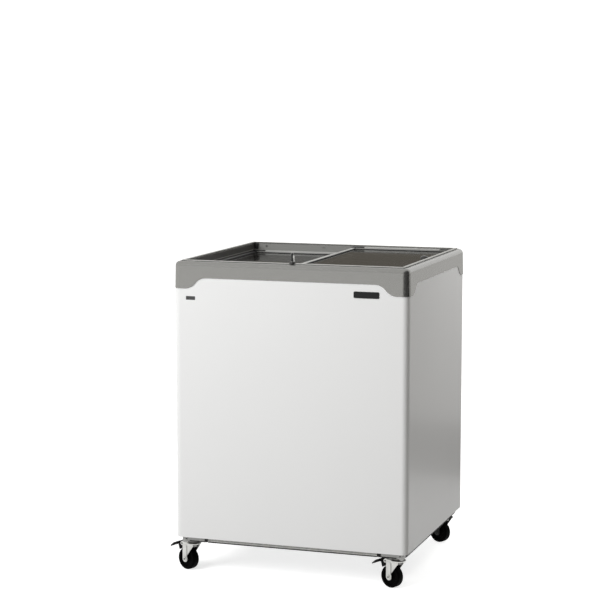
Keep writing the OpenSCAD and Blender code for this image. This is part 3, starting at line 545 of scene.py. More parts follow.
def round_run(half_x, half_y, radius, steps=5):
    """Points round a rounded rectangle, each with its outward direction."""
    run = []
    for k, (sx, sy) in enumerate(((1, -1), (1, 1), (-1, 1), (-1, -1))):
        for i in range(steps + 1):
            a = math.radians(-90 + 90 * k + 90 * i / steps)
            run.append((sx * (half_x - radius) + radius * math.cos(a),
                        sy * (half_y - radius) + radius * math.sin(a),
                        math.cos(a), math.sin(a)))
    return run

# %% Edging strip and painted crease shade on the crest, open at the lock
LIP = 9 * MM
lock_low, lock_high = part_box("lock_housing")
run_y = -opening_y - LIP
open_run = ([(lock_high.x + 0.4 * MM, run_y, 0, -1)]
            + round_run(opening_x + LIP, opening_y + LIP, 4 * MM)
            + [(lock_low.x - 0.4 * MM, run_y, 0, -1)])
strip_section = [(0.35, 0.35), (0.35, -1.3), (0.05, -1.3), (0.05, 0.0), (-8.6, 0.0),
                 (-8.6, 0.35)]
# painted shade: a black strip in the crease below the edging
crease_shade_section = [(0.02, -2.5), (0.9, -2.5), (0.9, -2.0), (0.5, -1.35), (0.02, -1.35)]
for name, section, like, finish in (("rim_edging", strip_section, "top_frame", edging_grey),
                                    ("rim_bead", crease_shade_section, "lid_stops", rubber)):
    section = [(a * MM, crest_z + b * MM) for a, b in section]
    add_object(name, sweep_section(name, open_run, section), "cabinet",
               finish)

# %% [markdown]
# ### Glazing gaskets
# A pane is held in its frame by a black gasket, of which a narrow line shows. Four low bars with
# rounded upper edges stand for it: low along the long bars, a little taller along the end bars.

# %% Glazing gaskets
def gasket(lid, tall, low):
    ends = sorted((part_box(lid + "_outer_bar"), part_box(lid + "_inner_bar")),
                  key=lambda box: box[0].x)
    glass_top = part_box(lid + "_glass")[1].z
    gap, thick, soft = 0.1 * MM, 1.2 * MM, 0.4 * MM
    x0, x1 = ends[0][1].x + gap, ends[1][0].x - gap
    y0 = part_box(lid + "_front_bar")[1].y + gap
    y1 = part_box(lid + "_rear_bar")[0].y - gap
    build = bmesh.new()
    for ax, ay, bx, by, high in ((x0, y0, x0 + thick, y1, tall), (x1 - thick, y0, x1, y1, tall),
                                 (x0 + thick, y0, x1 - thick, y0 + thick, low),
                                 (x0 + thick, y1 - thick, x1 - thick, y1, low)):
        rows = [[build.verts.new((x, y, z)) for x, y in ((ax, ay), (bx, ay), (bx, by), (ax, by))]
                for z in (glass_top + gap, glass_top + high)]
        build.faces.new(reversed(rows[0]))
        build.faces.new(rows[1])
        bridge(build, rows)
    upper = [e for e in build.edges if abs(e.verts[0].co.z - e.verts[1].co.z) < 0.001 * MM
             and e.verts[0].co.z > glass_top + 0.5 * MM]
    bmesh.ops.bevel(build, geom=upper, offset=soft, segments=2, affect="EDGES", profile=0.5)
    add_object(lid + "_gasket", mesh_of(build, lid + "_gasket", outward=False), lid,
               rubber)


for lid in ("left_lid", "right_lid"):
    gasket(lid, tall=2.6 * MM, low=1.6 * MM)

# %% [markdown]
# ### Front plate and label
# A moulded plate and a foil label sit on the front. Both are left bare. Each is a rounded outline
# stacked in levels: the levels draw in at the front, and the plate has a narrow raised rim.

# %% Front plate and label, both bare
def plate_mesh(name, size, thick, radius, centre, rim=0.0):
    soft = 0.4 * MM
    levels = [(0.0, 0.0), (thick - soft, 0.0), (thick, soft)]
    if rim:
        levels += [(thick, soft + rim), (thick - 0.35 * MM, soft + rim + 0.35 * MM)]
    return closed_tube(name, [
        [(centre[0] + x - ox * inset, front_y - out, centre[1] + z - oz * inset)
         for x, z, ox, oz in round_run(size[0] / 2, size[1] / 2, radius, 6)]
        for out, inset in levels])


PLATE_SIZE, LABEL_SIZE = (74.5 * MM, 18.4 * MM), (28.4 * MM, 10.8 * MM)
plate_centre = (0.228, crest_z - 79.2 * MM)
label_centre = (-0.2988, crest_z - 107.5 * MM)
add_object("front_plate", plate_mesh("front_plate", PLATE_SIZE, thick=1.5 * MM, radius=3.2 * MM,
                                     centre=plate_centre, rim=0.7 * MM),
           "cabinet", plate_plastic)
add_object("front_label", plate_mesh("front_label", LABEL_SIZE, thick=0.4 * MM, radius=0.8 * MM,
                                     centre=label_centre),
           "cabinet", label_foil)

# %% [markdown]
# ### Small strips
# Lines of shadow and light tell the eye how a sheet is folded: painted shade at the joints under
# the cabinet, a painted highlight along each end rail, the facing on a corner shoe. They are thin
# strips with rounded edges, laid on the face that carries them. One helper builds any number of
# them as one piece.

# %% A helper for strips
def strips(name, spans, soft, body, finish, turned=None):
    """spans: pairs of lowest and highest corner, in metres."""
    build = bmesh.new()
    for low, high in spans:
        made = bmesh.ops.create_cube(build, size=1.0)["verts"]
        bmesh.ops.scale(build, vec=[b - a for a, b in zip(low, high)], verts=made)
        bmesh.ops.translate(build, vec=[(a + b) / 2 for a, b in zip(low, high)], verts=made)
    bmesh.ops.bevel(build, geom=list(build.edges), offset=soft, segments=2, affect="EDGES")
    if turned is not None:
        bmesh.ops.transform(build, matrix=turned, verts=build.verts)
    add_object(name, mesh_of(build, name, outward=False), body, finish)

# %% Facings on the rear shoes
END_BAR = 11.2 * MM
for lid in ("left_lid", "right_lid"):
    shoe_low, shoe_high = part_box(lid + "_shoes")
    bar_low, bar_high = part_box(lid + "_rear_bar")
    low_z, high_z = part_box(lid + "_glass")[1].z + 0.3 * MM, shoe_high.z - 3 * MM
    strips(lid + "_facings",
           [((x0, bar_low.y - 0.3 * MM, low_z), (x1, bar_low.y, high_z)) for x0, x1 in
            ((shoe_low.x + END_BAR, bar_low.x), (bar_high.x, shoe_high.x - END_BAR))],
           0.1 * MM, lid, facing_and_highlight_grey)

# %% A painted highlight on each end rail, above the lower lid
rail_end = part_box("end_rails")[1]
lid_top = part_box("left_lid_shoes")[1].z
run_y, highlight_t = rail_end.y - 4 * MM, 0.25 * MM
# painted highlight: a thin light strip on each end rail stands for the light along the edge above
# the lower lid
strips("end_rail_highlights",
       [((x0, -run_y, lid_top + 0.3 * MM), (x0 + highlight_t, run_y, lid_top + 2.3 * MM))
        for x0 in (-rail_end.x + 1.5 * MM, rail_end.x - 1.5 * MM - highlight_t)],
       0.08 * MM, "cabinet", facing_and_highlight_grey)

# %% [markdown]
# ### Lines of the rails
# The galvanised rails are folded channels, and their shading is painted on: a dark strip of
# painted shade above and below, a grey strip of painted shade for the groove in the middle, and a
# near-black block of painted shade in the gap at each end, where the rail meets its corner bracket.
# All lie on the outer face, so one helper finds that face for any rail.

# %% Helpers for a rail's outer face
def around(rail):
    """A rail's box, the axis that its outer face looks along, and which way."""
    low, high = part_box(rail)
    middle = (low + high) / 2
    if abs(middle.y) > abs(middle.x):
        return low, high, 1, (-1 if middle.y < 0 else 1)
    return low, high, 0, (-1 if middle.x < 0 else 1)


def face_span(low, high, axis, side, proud, along, z0, z1):
    """A strip on the outer face of a box, from along[0] to along[1]."""
    face = high[axis] if side > 0 else low[axis]
    a, b = [0, 0, z0], [0, 0, z1]
    a[axis], b[axis] = sorted((face, face + side * proud))
    a[1 - axis], b[1 - axis] = along
    return tuple(a), tuple(b)

# %% Painted shade: joints, groove and end gaps
bracket_low, bracket_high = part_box("castor_brackets")
GAP_SHADE_START, GAP_SHADE_END, TAB = 0.2 * MM, 10 * MM, 22 * MM
LINE, GROOVE, GAP_SHADE_PROUD = 0.35 * MM, 0.3 * MM, 1.6 * MM
UPPER_SHADE, LONG_SHADE, SIDE_SHADE, HALF_GROOVE = 2.4 * MM, 2.6 * MM, 5 * MM, 0.6 * MM
joint_shade_spans, groove_shade_spans, gap_shade_spans = [], [], []
for rail in ("front_rail", "rear_rail", "left_rail", "right_rail"):
    low, high, axis, side = face = around(rail)
    ends = (low[1 - axis], high[1 - axis])
    bracket_end = (bracket_high if ends[1] > 0 else bracket_low)[1 - axis]
    lower_lip = low.z + (LONG_SHADE if axis == 1 else SIDE_SHADE)
    middle = (low.z + high.z) / 2
    joint_shade_spans.append(face_span(*face, LINE, ends, high.z - UPPER_SHADE, high.z))
    joint_shade_spans.append(face_span(*face, LINE, ends, low.z, lower_lip))
    groove_shade_spans.append(face_span(*face, GROOVE, ends, middle - HALF_GROOVE,
                                  middle + HALF_GROOVE))
    for end in (-1, 1):
        gap = end * abs(ends[1])
        gap_span = sorted((gap + end * GAP_SHADE_START, gap + end * GAP_SHADE_END))
        gap_shade_spans.append(face_span(*face, GAP_SHADE_PROUD, gap_span, low.z + 1 * MM, high.z - 1.5 * MM))
        under = sorted((gap + end * (GAP_SHADE_END + GAP_SHADE_START), end * (bracket_end - TAB)))
        joint_shade_spans.append(face_span(*face, LINE, under, low.z, lower_lip))
# painted shade: dark strips along the top and the foot of each rail, and along its foot under the
# bracket
strips("rail_joint_shade", joint_shade_spans, 0.1 * MM, "cabinet", painted_shade_black)
# painted shade: a dark grey strip along the middle groove of each rail
strips("rail_groove_shade", groove_shade_spans, 0.1 * MM, "cabinet",
       groove_shade_grey)
# painted shade: a near-black block in the gap at each end of each rail, where it meets its bracket
strips("rail_gap_shade", gap_shade_spans, 0.7 * MM, "cabinet", painted_shade_black)

# %% [markdown]
# ### Finger grip
# The right lid is pushed by a round grip on its pane. It is turned work, so a half section is spun
# round an upright axis. A light band of painted highlight lies over the dome, bent in the plane of
# the lid's length.

# %% A helper that spins a section
def spun(name, section, steps, upright, put, sharp_from):
    """section: (radius, distance along the axis) pairs; the axis is z if upright, else y."""
    build = bmesh.new()
    loop = [build.verts.new((a, 0, b) if upright else (a, b, 0)) for a, b in section]
    edges = [build.edges.new((loop[i], loop[(i + 1) % len(loop)])) for i in range(len(loop))]
    bmesh.ops.spin(build, geom=loop + edges, cent=(0, 0, 0),
                   axis=(0, 0, 1) if upright else (0, 1, 0), angle=FULL_TURN, steps=steps,
                   use_merge=True)
    bmesh.ops.remove_doubles(build, verts=build.verts, dist=0.001 * MM)
    mesh = mesh_of(build, name)
    mesh.transform(put)
    return smoothed(mesh, sharp_from)

# %% A domed finger grip with a band of painted highlight over it
grip_low, grip_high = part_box("right_lid_grip")
grip_r = (grip_high.x - grip_low.x) / 2
foot = Vector(((grip_low.x + grip_high.x) / 2, (grip_low.y + grip_high.y) / 2, grip_low.z))
DOME_H = 10.6 * MM
edge_r, axis_r, foot_gap = grip_r - 0.1 * MM, 0.01 * MM, 0.1 * MM
dome = [(axis_r, foot_gap), (edge_r, foot_gap), (edge_r, 2.5 * MM), (grip_r * 0.94, 5.4 * MM),
        (grip_r * 0.82, 7.6 * MM), (grip_r * 0.62, 9.3 * MM), (grip_r * 0.34, 10.3 * MM),
        (axis_r, DOME_H)]
grip = add_object("finger_grip", spun("finger_grip", dome, 48, True, Matrix.Translation(foot), 35),
                  "right_lid", grip_plastic)
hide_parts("right_lid_grip")


def arch_mesh(name, reach, rise, thick, wide, steps=24):
    """A flat band bent over a dome, in the plane of the lid's length."""
    corners = ((-thick, -wide), (0.3 * MM, -wide), (0.3 * MM, wide), (-thick, wide))
    return closed_tube(name, [
        [(foot.x + (reach + grow) * math.cos(a), foot.y + y, foot.z + (rise + grow) * math.sin(a))
         for grow, y in corners] for a in [math.pi * k / steps for k in range(steps + 1)]])


# painted highlight: a light band arched over the dark dome
add_object("grip_highlight_band", arch_mesh("grip_highlight_band", grip_r, DOME_H, 1.2 * MM, 1.3 * MM),
           "right_lid", facing_and_highlight_grey)

# %% [markdown]
# ## Castors
# The wheels are turned plastic discs, so a spun section is the natural way to draw one: a flat
# tread with rounded shoulders, a dished web, a raised hub and a fine moulding line. The place and
# the direction of each axle come from the frame's own joints.

# %% Places of the castors
joints = {j["name"]: j for j in frame["record"]["behaviour"]["joints"]}


def castor_frame(corner):
    """Matrix from castor space (x along the trail, z up from the head's top) to the scene."""
    top = Vector(joints["swivel_%s_turn" % corner]["pos_m"])
    axle = Vector(joints["wheel_%s_spin" % corner]["pos_m"])
    u = Vector((axle.x - top.x, axle.y - top.y, 0.0)).normalized()
    v = Vector((-u.y, u.x, 0.0))
    return Matrix(((u.x, v.x, 0, top.x), (u.y, v.y, 0, top.y), (0, 0, 1, top.z), (0, 0, 0, 1)))


def castor_extent(node_name, corner):
    inverse = castor_frame(corner).inverted()
    points = [inverse @ v.co for v in nodes[node_name].data.vertices]
    return (Vector([min(p[i] for p in points) for i in range(3)]),
            Vector([max(p[i] for p in points) for i in range(3)]))

# %% Spun wheels
BORE, HUB = 4.1 * MM, 8.5 * MM
for corner in castors:
    node_name = "castor_%s_wheel" % corner
    low, high = castor_extent(node_name, corner)
    r, h = (high.z - low.z) / 2, (high.y - low.y) / 2
    section = [(BORE, h), (HUB, h), (HUB + 0.8 * MM, h - 0.8 * MM), (HUB + 1.2 * MM, h - 5 * MM),
               (r * 0.62, h - 6 * MM), (r * 0.68, h - 5.4 * MM), (r * 0.71, h - 2 * MM),
               (r * 0.73, h - 1.3 * MM), (r * 0.78, h - 1.2 * MM), (r * 0.80, h - 1.6 * MM),
               (r * 0.82, h - 1.2 * MM), (r - 3.8 * MM, h - 1.2 * MM),
               (r - 2.2 * MM, h - 1.6 * MM), (r - 1.0 * MM, h - 2.6 * MM),
               (r - 0.3 * MM, h - 3.8 * MM), (r, h - 5.2 * MM),
               (r, 0.5 * MM), (r - 0.25 * MM, 0.2 * MM)]
    section += [(a, -b) for a, b in reversed(section)]
    put = castor_frame(corner) @ Matrix.Translation((low + high) / 2)
    wheel = add_object("wheel_" + corner, spun("wheel_" + corner, section, 72, False, put, 32),
                       body_by_node[node_name], tyre)
    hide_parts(node_name)
print("wheels: %.1f mm across, %.1f mm wide" % (2 * r / MM, 2 * h / MM))

# %% [markdown]
# ### Forks and rivets
# A press leaves a sharp line beside the rib of each fork, and a closed rivet has a small dimple in
# its head. Both are dark because light doesn't reach their bottom, so a thin strip and a dished
# disc in a dark finish are laid on the metal.

# %% Helpers for discs
def circle(radius, count=20):
    return [(radius * math.cos(FULL_TURN * k / count), radius * math.sin(FULL_TURN * k / count))
            for k in range(count)]


def dimples(name, centre_u, centre_z, face):
    """A dished disc on both cheeks of a fork, in castor space."""
    outer, inner, tall, deep, seat = 2.5 * MM, 1.7 * MM, 1.7 * MM, 0.5 * MM, 0.05 * MM
    build = bmesh.new()
    for side in (-1, 1):
        rings = [[build.verts.new((centre_u + x, side * (face + out), centre_z + z))
                  for x, z in circle(radius)]
                 for radius, out in ((outer, seat), (outer, tall), (inner, deep))]
        bridge(build, rings)
        build.faces.new(rings[0])
        build.faces.new(rings[-1])
    return mesh_of(build, name)

# %% Press lines on the forks and dark dimples in the rivets
RIB, PRESS_LINE, HEAD_T = 8.1 * MM, 1.6 * MM, 2.4 * MM
ABOVE_AXLE, LINE_TOP = 6 * MM, -19 * MM
for corner in castors:
    low, high = castor_extent("castor_%s_wheel" % corner, corner)
    axle_u, axle_z = (low.x + high.x) / 2, (low.z + high.z) / 2
    face = -castor_extent("castor_%s_axle" % corner, corner)[0].y - HEAD_T
    line_spans = []
    for side in (-1, 1):
        v0, v1 = sorted((side * (face - 0.05 * MM), side * (face + LINE)))
        line_spans.append(((axle_u - RIB - PRESS_LINE, v0, axle_z + ABOVE_AXLE),
                           (axle_u - RIB, v1, LINE_TOP)))
    strips("fork_lines_" + corner, line_spans, 0.1 * MM, body_by_node["castor_%s_fork" % corner],
           painted_shade_black, castor_frame(corner))
    dished = dimples("rivet_dimples_" + corner, axle_u, axle_z, face)
    dished.transform(castor_frame(corner))
    add_object("rivet_dimples_" + corner, dished, body_by_node["castor_%s_axle" % corner],
               painted_shade_black)
print("fork face %.1f mm from the middle" % (face / MM))

# %% [markdown]
# ## Parts that repeat by a rule
# Screws in a row, ribs on a pedal and marks on a dial follow a rule, so Geometry Nodes place
# them: one small shape is modelled, and the tree repeats it by named numbers. The result is
# turned into a plain mesh.

# %% Helpers for a rule
INTEGER, FINISH, SHAPE = "NodeSocketInt", "NodeSocketMaterial", "NodeSocketGeometry"


def rule_tree(name, inputs):
    tree = bpy.data.node_groups.new(name, "GeometryNodeTree")
    tree.interface.new_socket("Geometry", in_out="INPUT", socket_type=SHAPE)
    for label, kind, value in inputs:
        tree.interface.new_socket(label, in_out="INPUT", socket_type=kind).default_value = value
    tree.interface.new_socket("Finish", in_out="INPUT", socket_type=FINISH)
    tree.interface.new_socket("Geometry", in_out="OUTPUT", socket_type=SHAPE)
    print("rule:", name)
    return tree, tree.nodes.new("NodeGroupInput"), tree.nodes.new("NodeGroupOutput")


def finish_rule(tree, spots, enter, leave):
    real = place(tree, "GeometryNodeRealizeInstances")
    dress = place(tree, "GeometryNodeSetMaterial")
    wire(tree, (enter, "Geometry", spots, "Instance"), (spots, "Instances", real, "Geometry"),
         (real, "Geometry", dress, "Geometry"), (enter, "Finish", dress, "Material"),
         (dress, "Geometry", leave, "Geometry"))

# %% A row: a line of points, each with the shape
row_tree, enter, leave = rule_tree(
    "a row of the shape", [("Count", INTEGER, 4), ("Start", VECTOR, (0, 0, 0)),
                           ("Step", VECTOR, (0.1, 0, 0))])
line = place(row_tree, "GeometryNodeMeshLine", mode="OFFSET")
spots = place(row_tree, "GeometryNodeInstanceOnPoints")
wire(row_tree, (enter, "Count", line, "Count"), (enter, "Start", line, "Start Location"),
     (enter, "Step", line, "Offset"), (line, "Mesh", spots, "Points"))
finish_rule(row_tree, spots, enter, leave)

# %% A dial: points on an arc, each turned to look outwards
dial_tree, enter, leave = rule_tree(
    "marks round a dial", [("Count", INTEGER, 8), ("Radius", FLOAT, 0.02),
                           ("First angle", FLOAT, 0.0), ("Arc", FLOAT, 4.7)])
marks = place(dial_tree, "GeometryNodePoints")
index = place(dial_tree, "GeometryNodeInputIndex")
gaps = place(dial_tree, "ShaderNodeMath", [(1, 1.0)], operation="SUBTRACT")
share = place(dial_tree, "ShaderNodeMath", operation="DIVIDE")
turn = place(dial_tree, "ShaderNodeMath", operation="MULTIPLY_ADD")
cosine = place(dial_tree, "ShaderNodeMath", operation="COSINE")
sine = place(dial_tree, "ShaderNodeMath", operation="SINE")
unit = place(dial_tree, "ShaderNodeCombineXYZ")
out_by = place(dial_tree, "ShaderNodeVectorMath", operation="SCALE")
heading = place(dial_tree, "ShaderNodeCombineXYZ")
spots = place(dial_tree, "GeometryNodeInstanceOnPoints")
wire(dial_tree, (enter, "Count", marks, "Count"), (enter, "Count", gaps, 0),
     (index, 0, share, 0), (gaps, 0, share, 1), (share, 0, turn, 0), (enter, "Arc", turn, 1),
     (enter, "First angle", turn, 2), (turn, 0, cosine, 0), (turn, 0, sine, 0),
     (cosine, 0, unit, "X"), (sine, 0, unit, "Y"), (unit, 0, out_by, 0),
     (enter, "Radius", out_by, "Scale"), (out_by, "Vector", marks, "Position"),
     (turn, 0, heading, "Z"), (marks, 0, spots, "Points"), (heading, 0, spots, "Rotation"))
finish_rule(dial_tree, spots, enter, leave)

# %% Run a rule and keep a plain mesh
def by_rule(name, shape, tree, finish, **values):
    work = bpy.data.objects.new(name, shape)
    scene.collection.objects.link(work)
    rule = work.modifiers.new("rule", "NODES")
    rule.node_group = tree
    sockets = {i.name: i.identifier for i in tree.interface.items_tree
               if i.item_type == "SOCKET" and i.in_out == "INPUT"}
    for label, value in values.items():
        rule[sockets[label.replace("_", " ")]] = value
    rule[sockets["Finish"]] = finish
    mesh = evaluated(work)
    mesh.name = name
    return mesh


def soft_bar(size, soft, segments):
    """A small bar round the origin with rounded edges."""
    build = bmesh.new()
    bmesh.ops.create_cube(build, size=1.0)
    bmesh.ops.scale(build, vec=size, verts=build.verts)
    bmesh.ops.bevel(build, geom=list(build.edges), offset=soft, segments=segments,
                    affect="EDGES")
    return mesh_of(build, "bar", outward=False)

# %% [markdown]
# ### Screws
# The tracks are held by flush screws through their walls, and the rear panel by round-headed ones
# along its edges. A head is three stacked rings with a cross cut into its top. The cross is a
# second ring inside the first, and the space between them is filled with triangles.

# %% A screw head with a cross recess
def screw_shape(radius, proud):
    """A screw head on the plane z = 0 that looks along +z."""
    build = bmesh.new()
    rings = [[build.verts.new((x, y, z)) for x, y in circle(r)] for r, z in
             ((radius, 0.0), (radius * 0.94, proud * 0.7), (radius * 0.7, proud))]
    bridge(build, rings)
    arm, wide, deep = radius * 0.55, radius * 0.13, proud * 0.35
    cross = []
    for k in range(4):
        a = math.pi / 2 * k
        for x, y in ((arm, -wide), (arm, wide), (wide, wide)):
            cross.append((x * math.cos(a) - y * math.sin(a), x * math.sin(a) + y * math.cos(a)))
    upper = [build.verts.new((x, y, proud)) for x, y in cross]
    lower = [build.verts.new((x * 0.8, y * 0.8, deep)) for x, y in cross]
    bridge(build, [upper, lower])
    build.faces.new(lower)
    bmesh.ops.triangle_fill(build, use_beauty=True, edges=[
        build.edges.get((ring[k], ring[(k + 1) % len(ring)]))
        for ring in (rings[-1], upper) for k in range(len(ring))])
    return mesh_of(build, "screw")


def screw_rows(name, radius, proud, rows):
    """rows: a turn about x in degrees, the first place, the step and the count."""
    build = bmesh.new()
    for tilt, start, step, count in rows:
        head = screw_shape(radius, proud)
        head.transform(Matrix.Rotation(math.radians(tilt), 4, "X"))
        build.from_mesh(by_rule(name, head, row_tree, screw_steel, Count=count, Start=start,
                                Step=step))
    add_object(name, mesh_of(build, name, outward=False), "cabinet",
               screw_steel)

# %% Screws through the track walls and round the rear panel
TRACK_WALL, FIRST_X, STEP_X = 1.5 * MM, -0.285, (0.19, 0, 0)
wall_y = opening_y - TRACK_WALL
wall_z = (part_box("rear_track")[1].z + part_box("right_lid_rear_bar")[0].z) / 2
screw_rows("track_screws", 3.2 * MM, 0.15 * MM, ((90, (FIRST_X, wall_y, wall_z), STEP_X, 4),
                                                 (-90, (FIRST_X, -wall_y, wall_z), STEP_X, 4)))

EDGE = 9 * MM
panel_low, panel_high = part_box("rear_panel")
panel_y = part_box("thermostat_plate")[0].y - 0.2 * MM
low_z = panel_low.z + EDGE
step_z = (panel_high.z - panel_low.z - 3 * EDGE) / 5
step_x = (panel_high.x - panel_low.x - 2 * EDGE) / 4
screw_rows("panel_screws", 4.0 * MM, 1.6 * MM, (
    (-90, (panel_low.x + EDGE, panel_y, low_z), (0, 0, step_z), 6),
    (-90, (panel_high.x - EDGE, panel_y, low_z), (0, 0, step_z), 6),
    (-90, (panel_low.x + EDGE + step_x, panel_y, panel_high.z - 2 * EDGE), (step_x, 0, 0), 3)))

# %% [markdown]
# ### Dial and pointer
# The thermostat is set by a knob, so its plate has printed marks round it, and the knob has one
# light line that turns with it. Print is thin, but a thin bar is easier to light than a picture.

# %% Marks round the thermostat's knob
PRINT, PRINT_SOFT = 0.15 * MM, 0.05 * MM
DIAL_RADIUS, PLATE_FACE, POINTER_OUT = 22.0 * MM, 6.05 * MM, 6 * MM
plate_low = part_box("thermostat_plate")[0]
knob_low, knob_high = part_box("thermostat_knob")
knob_x, knob_z = (knob_low.x + knob_high.x) / 2, (knob_low.z + knob_high.z) / 2
dial = by_rule("dial_marks", soft_bar((3.0 * MM, 0.9 * MM, PRINT), PRINT_SOFT, 1), dial_tree,
               mark_white, Count=8, Radius=DIAL_RADIUS, First_angle=math.radians(-45),
               Arc=math.radians(270))
dial.transform(Matrix.Translation((knob_x, plate_low.y + PLATE_FACE, knob_z))
               @ Matrix.Rotation(math.radians(-90), 4, "X"))
add_object("dial_marks", dial, "cabinet", mark_white)
pointer = soft_bar((6.0 * MM, 1.4 * MM, PRINT), PRINT_SOFT, 1)
pointer.transform(Matrix.Translation((knob_x, knob_high.y, knob_z + POINTER_OUT))
                  @ Matrix.Rotation(math.radians(90), 4, "X")
                  @ Matrix.Rotation(math.radians(90), 4, "Z"))
add_object("knob_pointer", pointer, body_by_node["thermostat_knob"],
           mark_white)

# %% [markdown]
# ### Pedal ribs
# A brake pedal has ribs, so that a shoe doesn't slip off it. The tread is a sloping face of the
# node. It is found as the largest face that looks steeply up, and the row of ribs is laid on it.

# %% Ribs on the pedals
def tread_place(corner):
    """Centre and direction of the pedal's tread."""
    skin = flat_skin("castor_%s_pedal" % corner)
    upward = [f for f in skin.faces if 0.80 < f.normal.z < 0.95]
    best = max(upward, key=lambda f: f.calc_area())
    centre, normal = best.calc_center_bounds(), best.normal.copy()
    skin.free()
    return centre, normal


for corner in braked:
    centre, normal = tread_place(corner)
    across = (castor_frame(corner).to_3x3() @ Vector((0, 1, 0))).normalized()
    along = across.cross(normal).normalized()
    name, node_name = "pedal_ribs_" + corner, "castor_%s_pedal" % corner
    ribs = by_rule(name, soft_bar((1.2 * MM, 18 * MM, 1.0 * MM), 0.4 * MM, 2), row_tree,
                   black_paint, Count=5, Start=(-7.2 * MM, 0, 0.2 * MM), Step=(3.6 * MM, 0, 0))
    ribs.transform(Matrix([(*row, place_at) for row, place_at in
                           zip(zip(along, across, normal), centre)] + [(0, 0, 0, 1)]))
    add_object(name, ribs, body_by_node[node_name], black_paint)
print("pedal tread at", [round(v, 4) for v in centre])

# %% [markdown]
# ## Floor, backdrop and light
# A white sweep stands behind the freezer: a floor that curves up into a backdrop, with no corner.
# It is white to the camera, in reflections and through glass by its own colour, and a plain grey
# to the light that it scatters, so that it doesn't brighten the object from below. Near the object
# its own glow is lower, and its diffuse part keeps the soft shadow under the cabinet.

# %% Floor and backdrop
def sweep_mesh(half_wide=12.0, near=-9.0, far=4.5, radius=1.6, high=9.0, steps=12):
    profile = [(near, 0.0)]
    for k in range(steps + 1):
        a = math.pi / 2 * k / steps
        profile.append((far + radius * math.sin(a), radius * (1 - math.cos(a))))
    profile.append((far + radius, high))
    build = bmesh.new()
    left, right = [[build.verts.new((x, y, z)) for y, z in profile]
                   for x in (-half_wide, half_wide)]
    for k in range(len(profile) - 1):
        build.faces.new((left[k], right[k], right[k + 1], left[k + 1]))
    return mesh_of(build, "studio_sweep", outward=False)


def shown_or_lit(tree, shown, hidden, out):
    """One shader for the camera, reflections and glass, and one for scattered light."""
    path = place(tree, "ShaderNodeLightPath")
    seen = place(tree, "ShaderNodeMath", operation="MAXIMUM")
    also = place(tree, "ShaderNodeMath", operation="MAXIMUM")
    pick = place(tree, "ShaderNodeMixShader")
    wire(tree, (path, "Is Camera Ray", seen, 0), (path, "Is Glossy Ray", seen, 1),
         (seen, 0, also, 0), (path, "Is Transmission Ray", also, 1), (also, 0, pick, "Fac"),
         (hidden, 0, pick, 1), (shown, 0, pick, 2), (pick, 0, out, "Surface"))


SHADOW_MIDDLE, SHADOW_NEAR, SHADOW_END = (-0.12, -0.15, 0.0), 0.38, 0.75


def white_stage(name, near_glow, far_glow, diffuse, scattered):
    """The glow rises from near_glow at the shadow's middle to far_glow past its end."""
    material = bpy.data.materials.new(name)
    material.use_nodes = True
    tree = material.node_tree
    tree.nodes.clear()
    out = place(tree, "ShaderNodeOutputMaterial")
    where = place(tree, "ShaderNodeTexCoord")
    away = place(tree, "ShaderNodeVectorMath", [(1, SHADOW_MIDDLE)], operation="DISTANCE")
    rise = place(tree, "ShaderNodeMapRange",
                 [("From Min", SHADOW_NEAR), ("From Max", SHADOW_END),
                  ("To Min", near_glow), ("To Max", far_glow)])
    light = place(tree, "ShaderNodeEmission")
    matt = place(tree, "ShaderNodeBsdfDiffuse", [("Color", (diffuse, diffuse, diffuse, 1))])
    both = place(tree, "ShaderNodeAddShader")
    plain = place(tree, "ShaderNodeBsdfDiffuse",
                  [("Color", (scattered, scattered, scattered, 1))])
    wire(tree, (where, "Object", away, 0), (away, "Value", rise, "Value"),
         (rise, "Result", light, "Strength"), (light, 0, both, 0), (matt, 0, both, 1))
    shown_or_lit(tree, both, plain, out)
    return material


sweep = bpy.data.objects.new("studio_sweep", sweep_mesh())
scene.collection.objects.link(sweep)
sweep.data.materials.append(white_stage("white sweep", 0.65, 0.96, 0.66, 0.18))
sweep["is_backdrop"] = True
print("sweep:", len(sweep.data.polygons), "faces")

# %% [markdown]
# ### Cards for the reflections
# A photographer stands black and grey cards beside shiny things, because glass and satin plastic
# show whatever is around them. One behind darkens the panes, one at the front right draws the dark
# band on the rim's corner, and two at the back right calm the shaded side. Only glossy rays see
# them, so they cast no shadow and take no light.

# %% Cards that only reflections see
def card(name, start, end, low, high, glow):
    """An upright card from one plan point to another, with a faint glow."""
    mesh = bpy.data.meshes.new(name)
    mesh.from_pydata([(*start, low), (*end, low), (*end, high), (*start, high)], [],
                     [(0, 1, 2, 3)])
    made = bpy.data.objects.new(name, mesh)
    scene.collection.objects.link(made)
    cloth = plain_finish(name, (0.01, 0.01, 0.01), 1.0, specular=0.0)
    shader = cloth.node_tree.nodes["Principled BSDF"]
    shader.inputs["Emission Color"].default_value = (*glow, 1)
    shader.inputs["Emission Strength"].default_value = 1.0
    mesh.materials.append(cloth)
    for ray in ("camera", "diffuse", "transmission", "volume_scatter", "shadow"):
        setattr(made, "visible_" + ray, False)
    made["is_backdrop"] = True
    print("card:", name, "with glow", glow)


card("card_behind", (-2.5, 2.6), (-0.1, 2.6), 0.93, 1.45, (0.17, 0.155, 0.13))
card("card_beside", (0.5, -3.4), (2.0, 0.25), 0.05, 3.0, (0.0, 0.0, 0.0))
card("grey_card", (0.36, 1.2), (3.5, 1.2), 0.2, 0.9, (0.88, 0.87, 0.85))
card("low_card", (0.36, 1.2), (3.5, 1.2), 0.0, 0.2, (0.45, 0.445, 0.435))

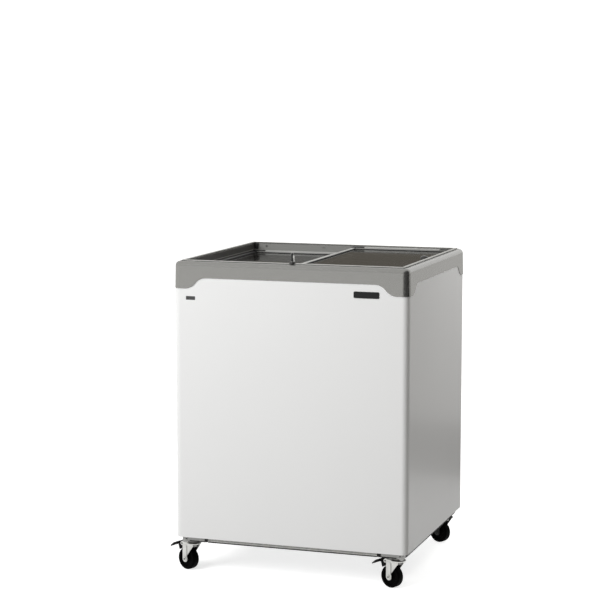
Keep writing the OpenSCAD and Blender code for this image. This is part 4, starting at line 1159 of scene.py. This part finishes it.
# %% [markdown]
# ### World and lamps
# One broad lamp at the front left gives the front its gentle fall-off, and the world fills the
# shaded side with a soft, slightly warm light. A weak twin of the broad lamp is there for the
# sheen alone, and a small lamp high at the right lifts the upper back of the shaded side.

# %% World: white to the camera, soft grey light for the object
ROOM_LIGHT, ROOM_COLOUR = 0.36, (1.0, 0.98, 0.93, 1)
world = bpy.data.worlds.new("studio")
scene.world = world
world.use_nodes = True
tree = world.node_tree
tree.nodes.clear()
out = place(tree, "ShaderNodeOutputWorld")
soft_light = place(tree, "ShaderNodeBackground",
                   [("Color", ROOM_COLOUR), ("Strength", ROOM_LIGHT)])
white_light = place(tree, "ShaderNodeBackground", [("Color", (1, 1, 1, 1)), ("Strength", 1.0)])
shown_or_lit(tree, white_light, soft_light, out)
print("room light:", ROOM_LIGHT)

# %% Lamps
def lamp(name, size, power, place_at, aim_at, colour=(1.0, 1.0, 1.0), unseen_by=("glossy",)):
    data = bpy.data.lights.new(name, "AREA")
    data.color = colour
    data.shape = "RECTANGLE"
    data.size = data.size_y = size
    data.energy = power
    made = bpy.data.objects.new(name, data)
    scene.collection.objects.link(made)
    for ray in ("camera", *unseen_by):
        setattr(made, "visible_" + ray, False)
    made.location = place_at
    made.rotation_euler = (Vector(aim_at) - Vector(place_at)).to_track_quat("-Z", "Y").to_euler()
    print("lamp:", name, power, "W")


FRONT_LEFT, CABINET_MIDDLE = (-2.2, -3.6, 2.9), (0.0, 0.0, 0.55)
lamp("key lamp", 2.4, 205.0, FRONT_LEFT, CABINET_MIDDLE, (0.985, 0.99, 1.0))
lamp("sheen lamp", 2.4, 14.0, FRONT_LEFT, CABINET_MIDDLE, unseen_by=("diffuse",))
lamp("side lamp", 0.6, 6.5, (1.0, 0.6, 1.7), (0.35, 0.15, 0.8))

# %% [markdown]
# ## Last settings
# The picture is shown as it is rendered, with no added contrast. The box round the dressed freezer
# is printed.

# %% Finish
scene.view_settings.view_transform = "Standard"
low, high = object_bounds()
print("box:", [round(v, 4) for v in low], [round(v, 4) for v in high])
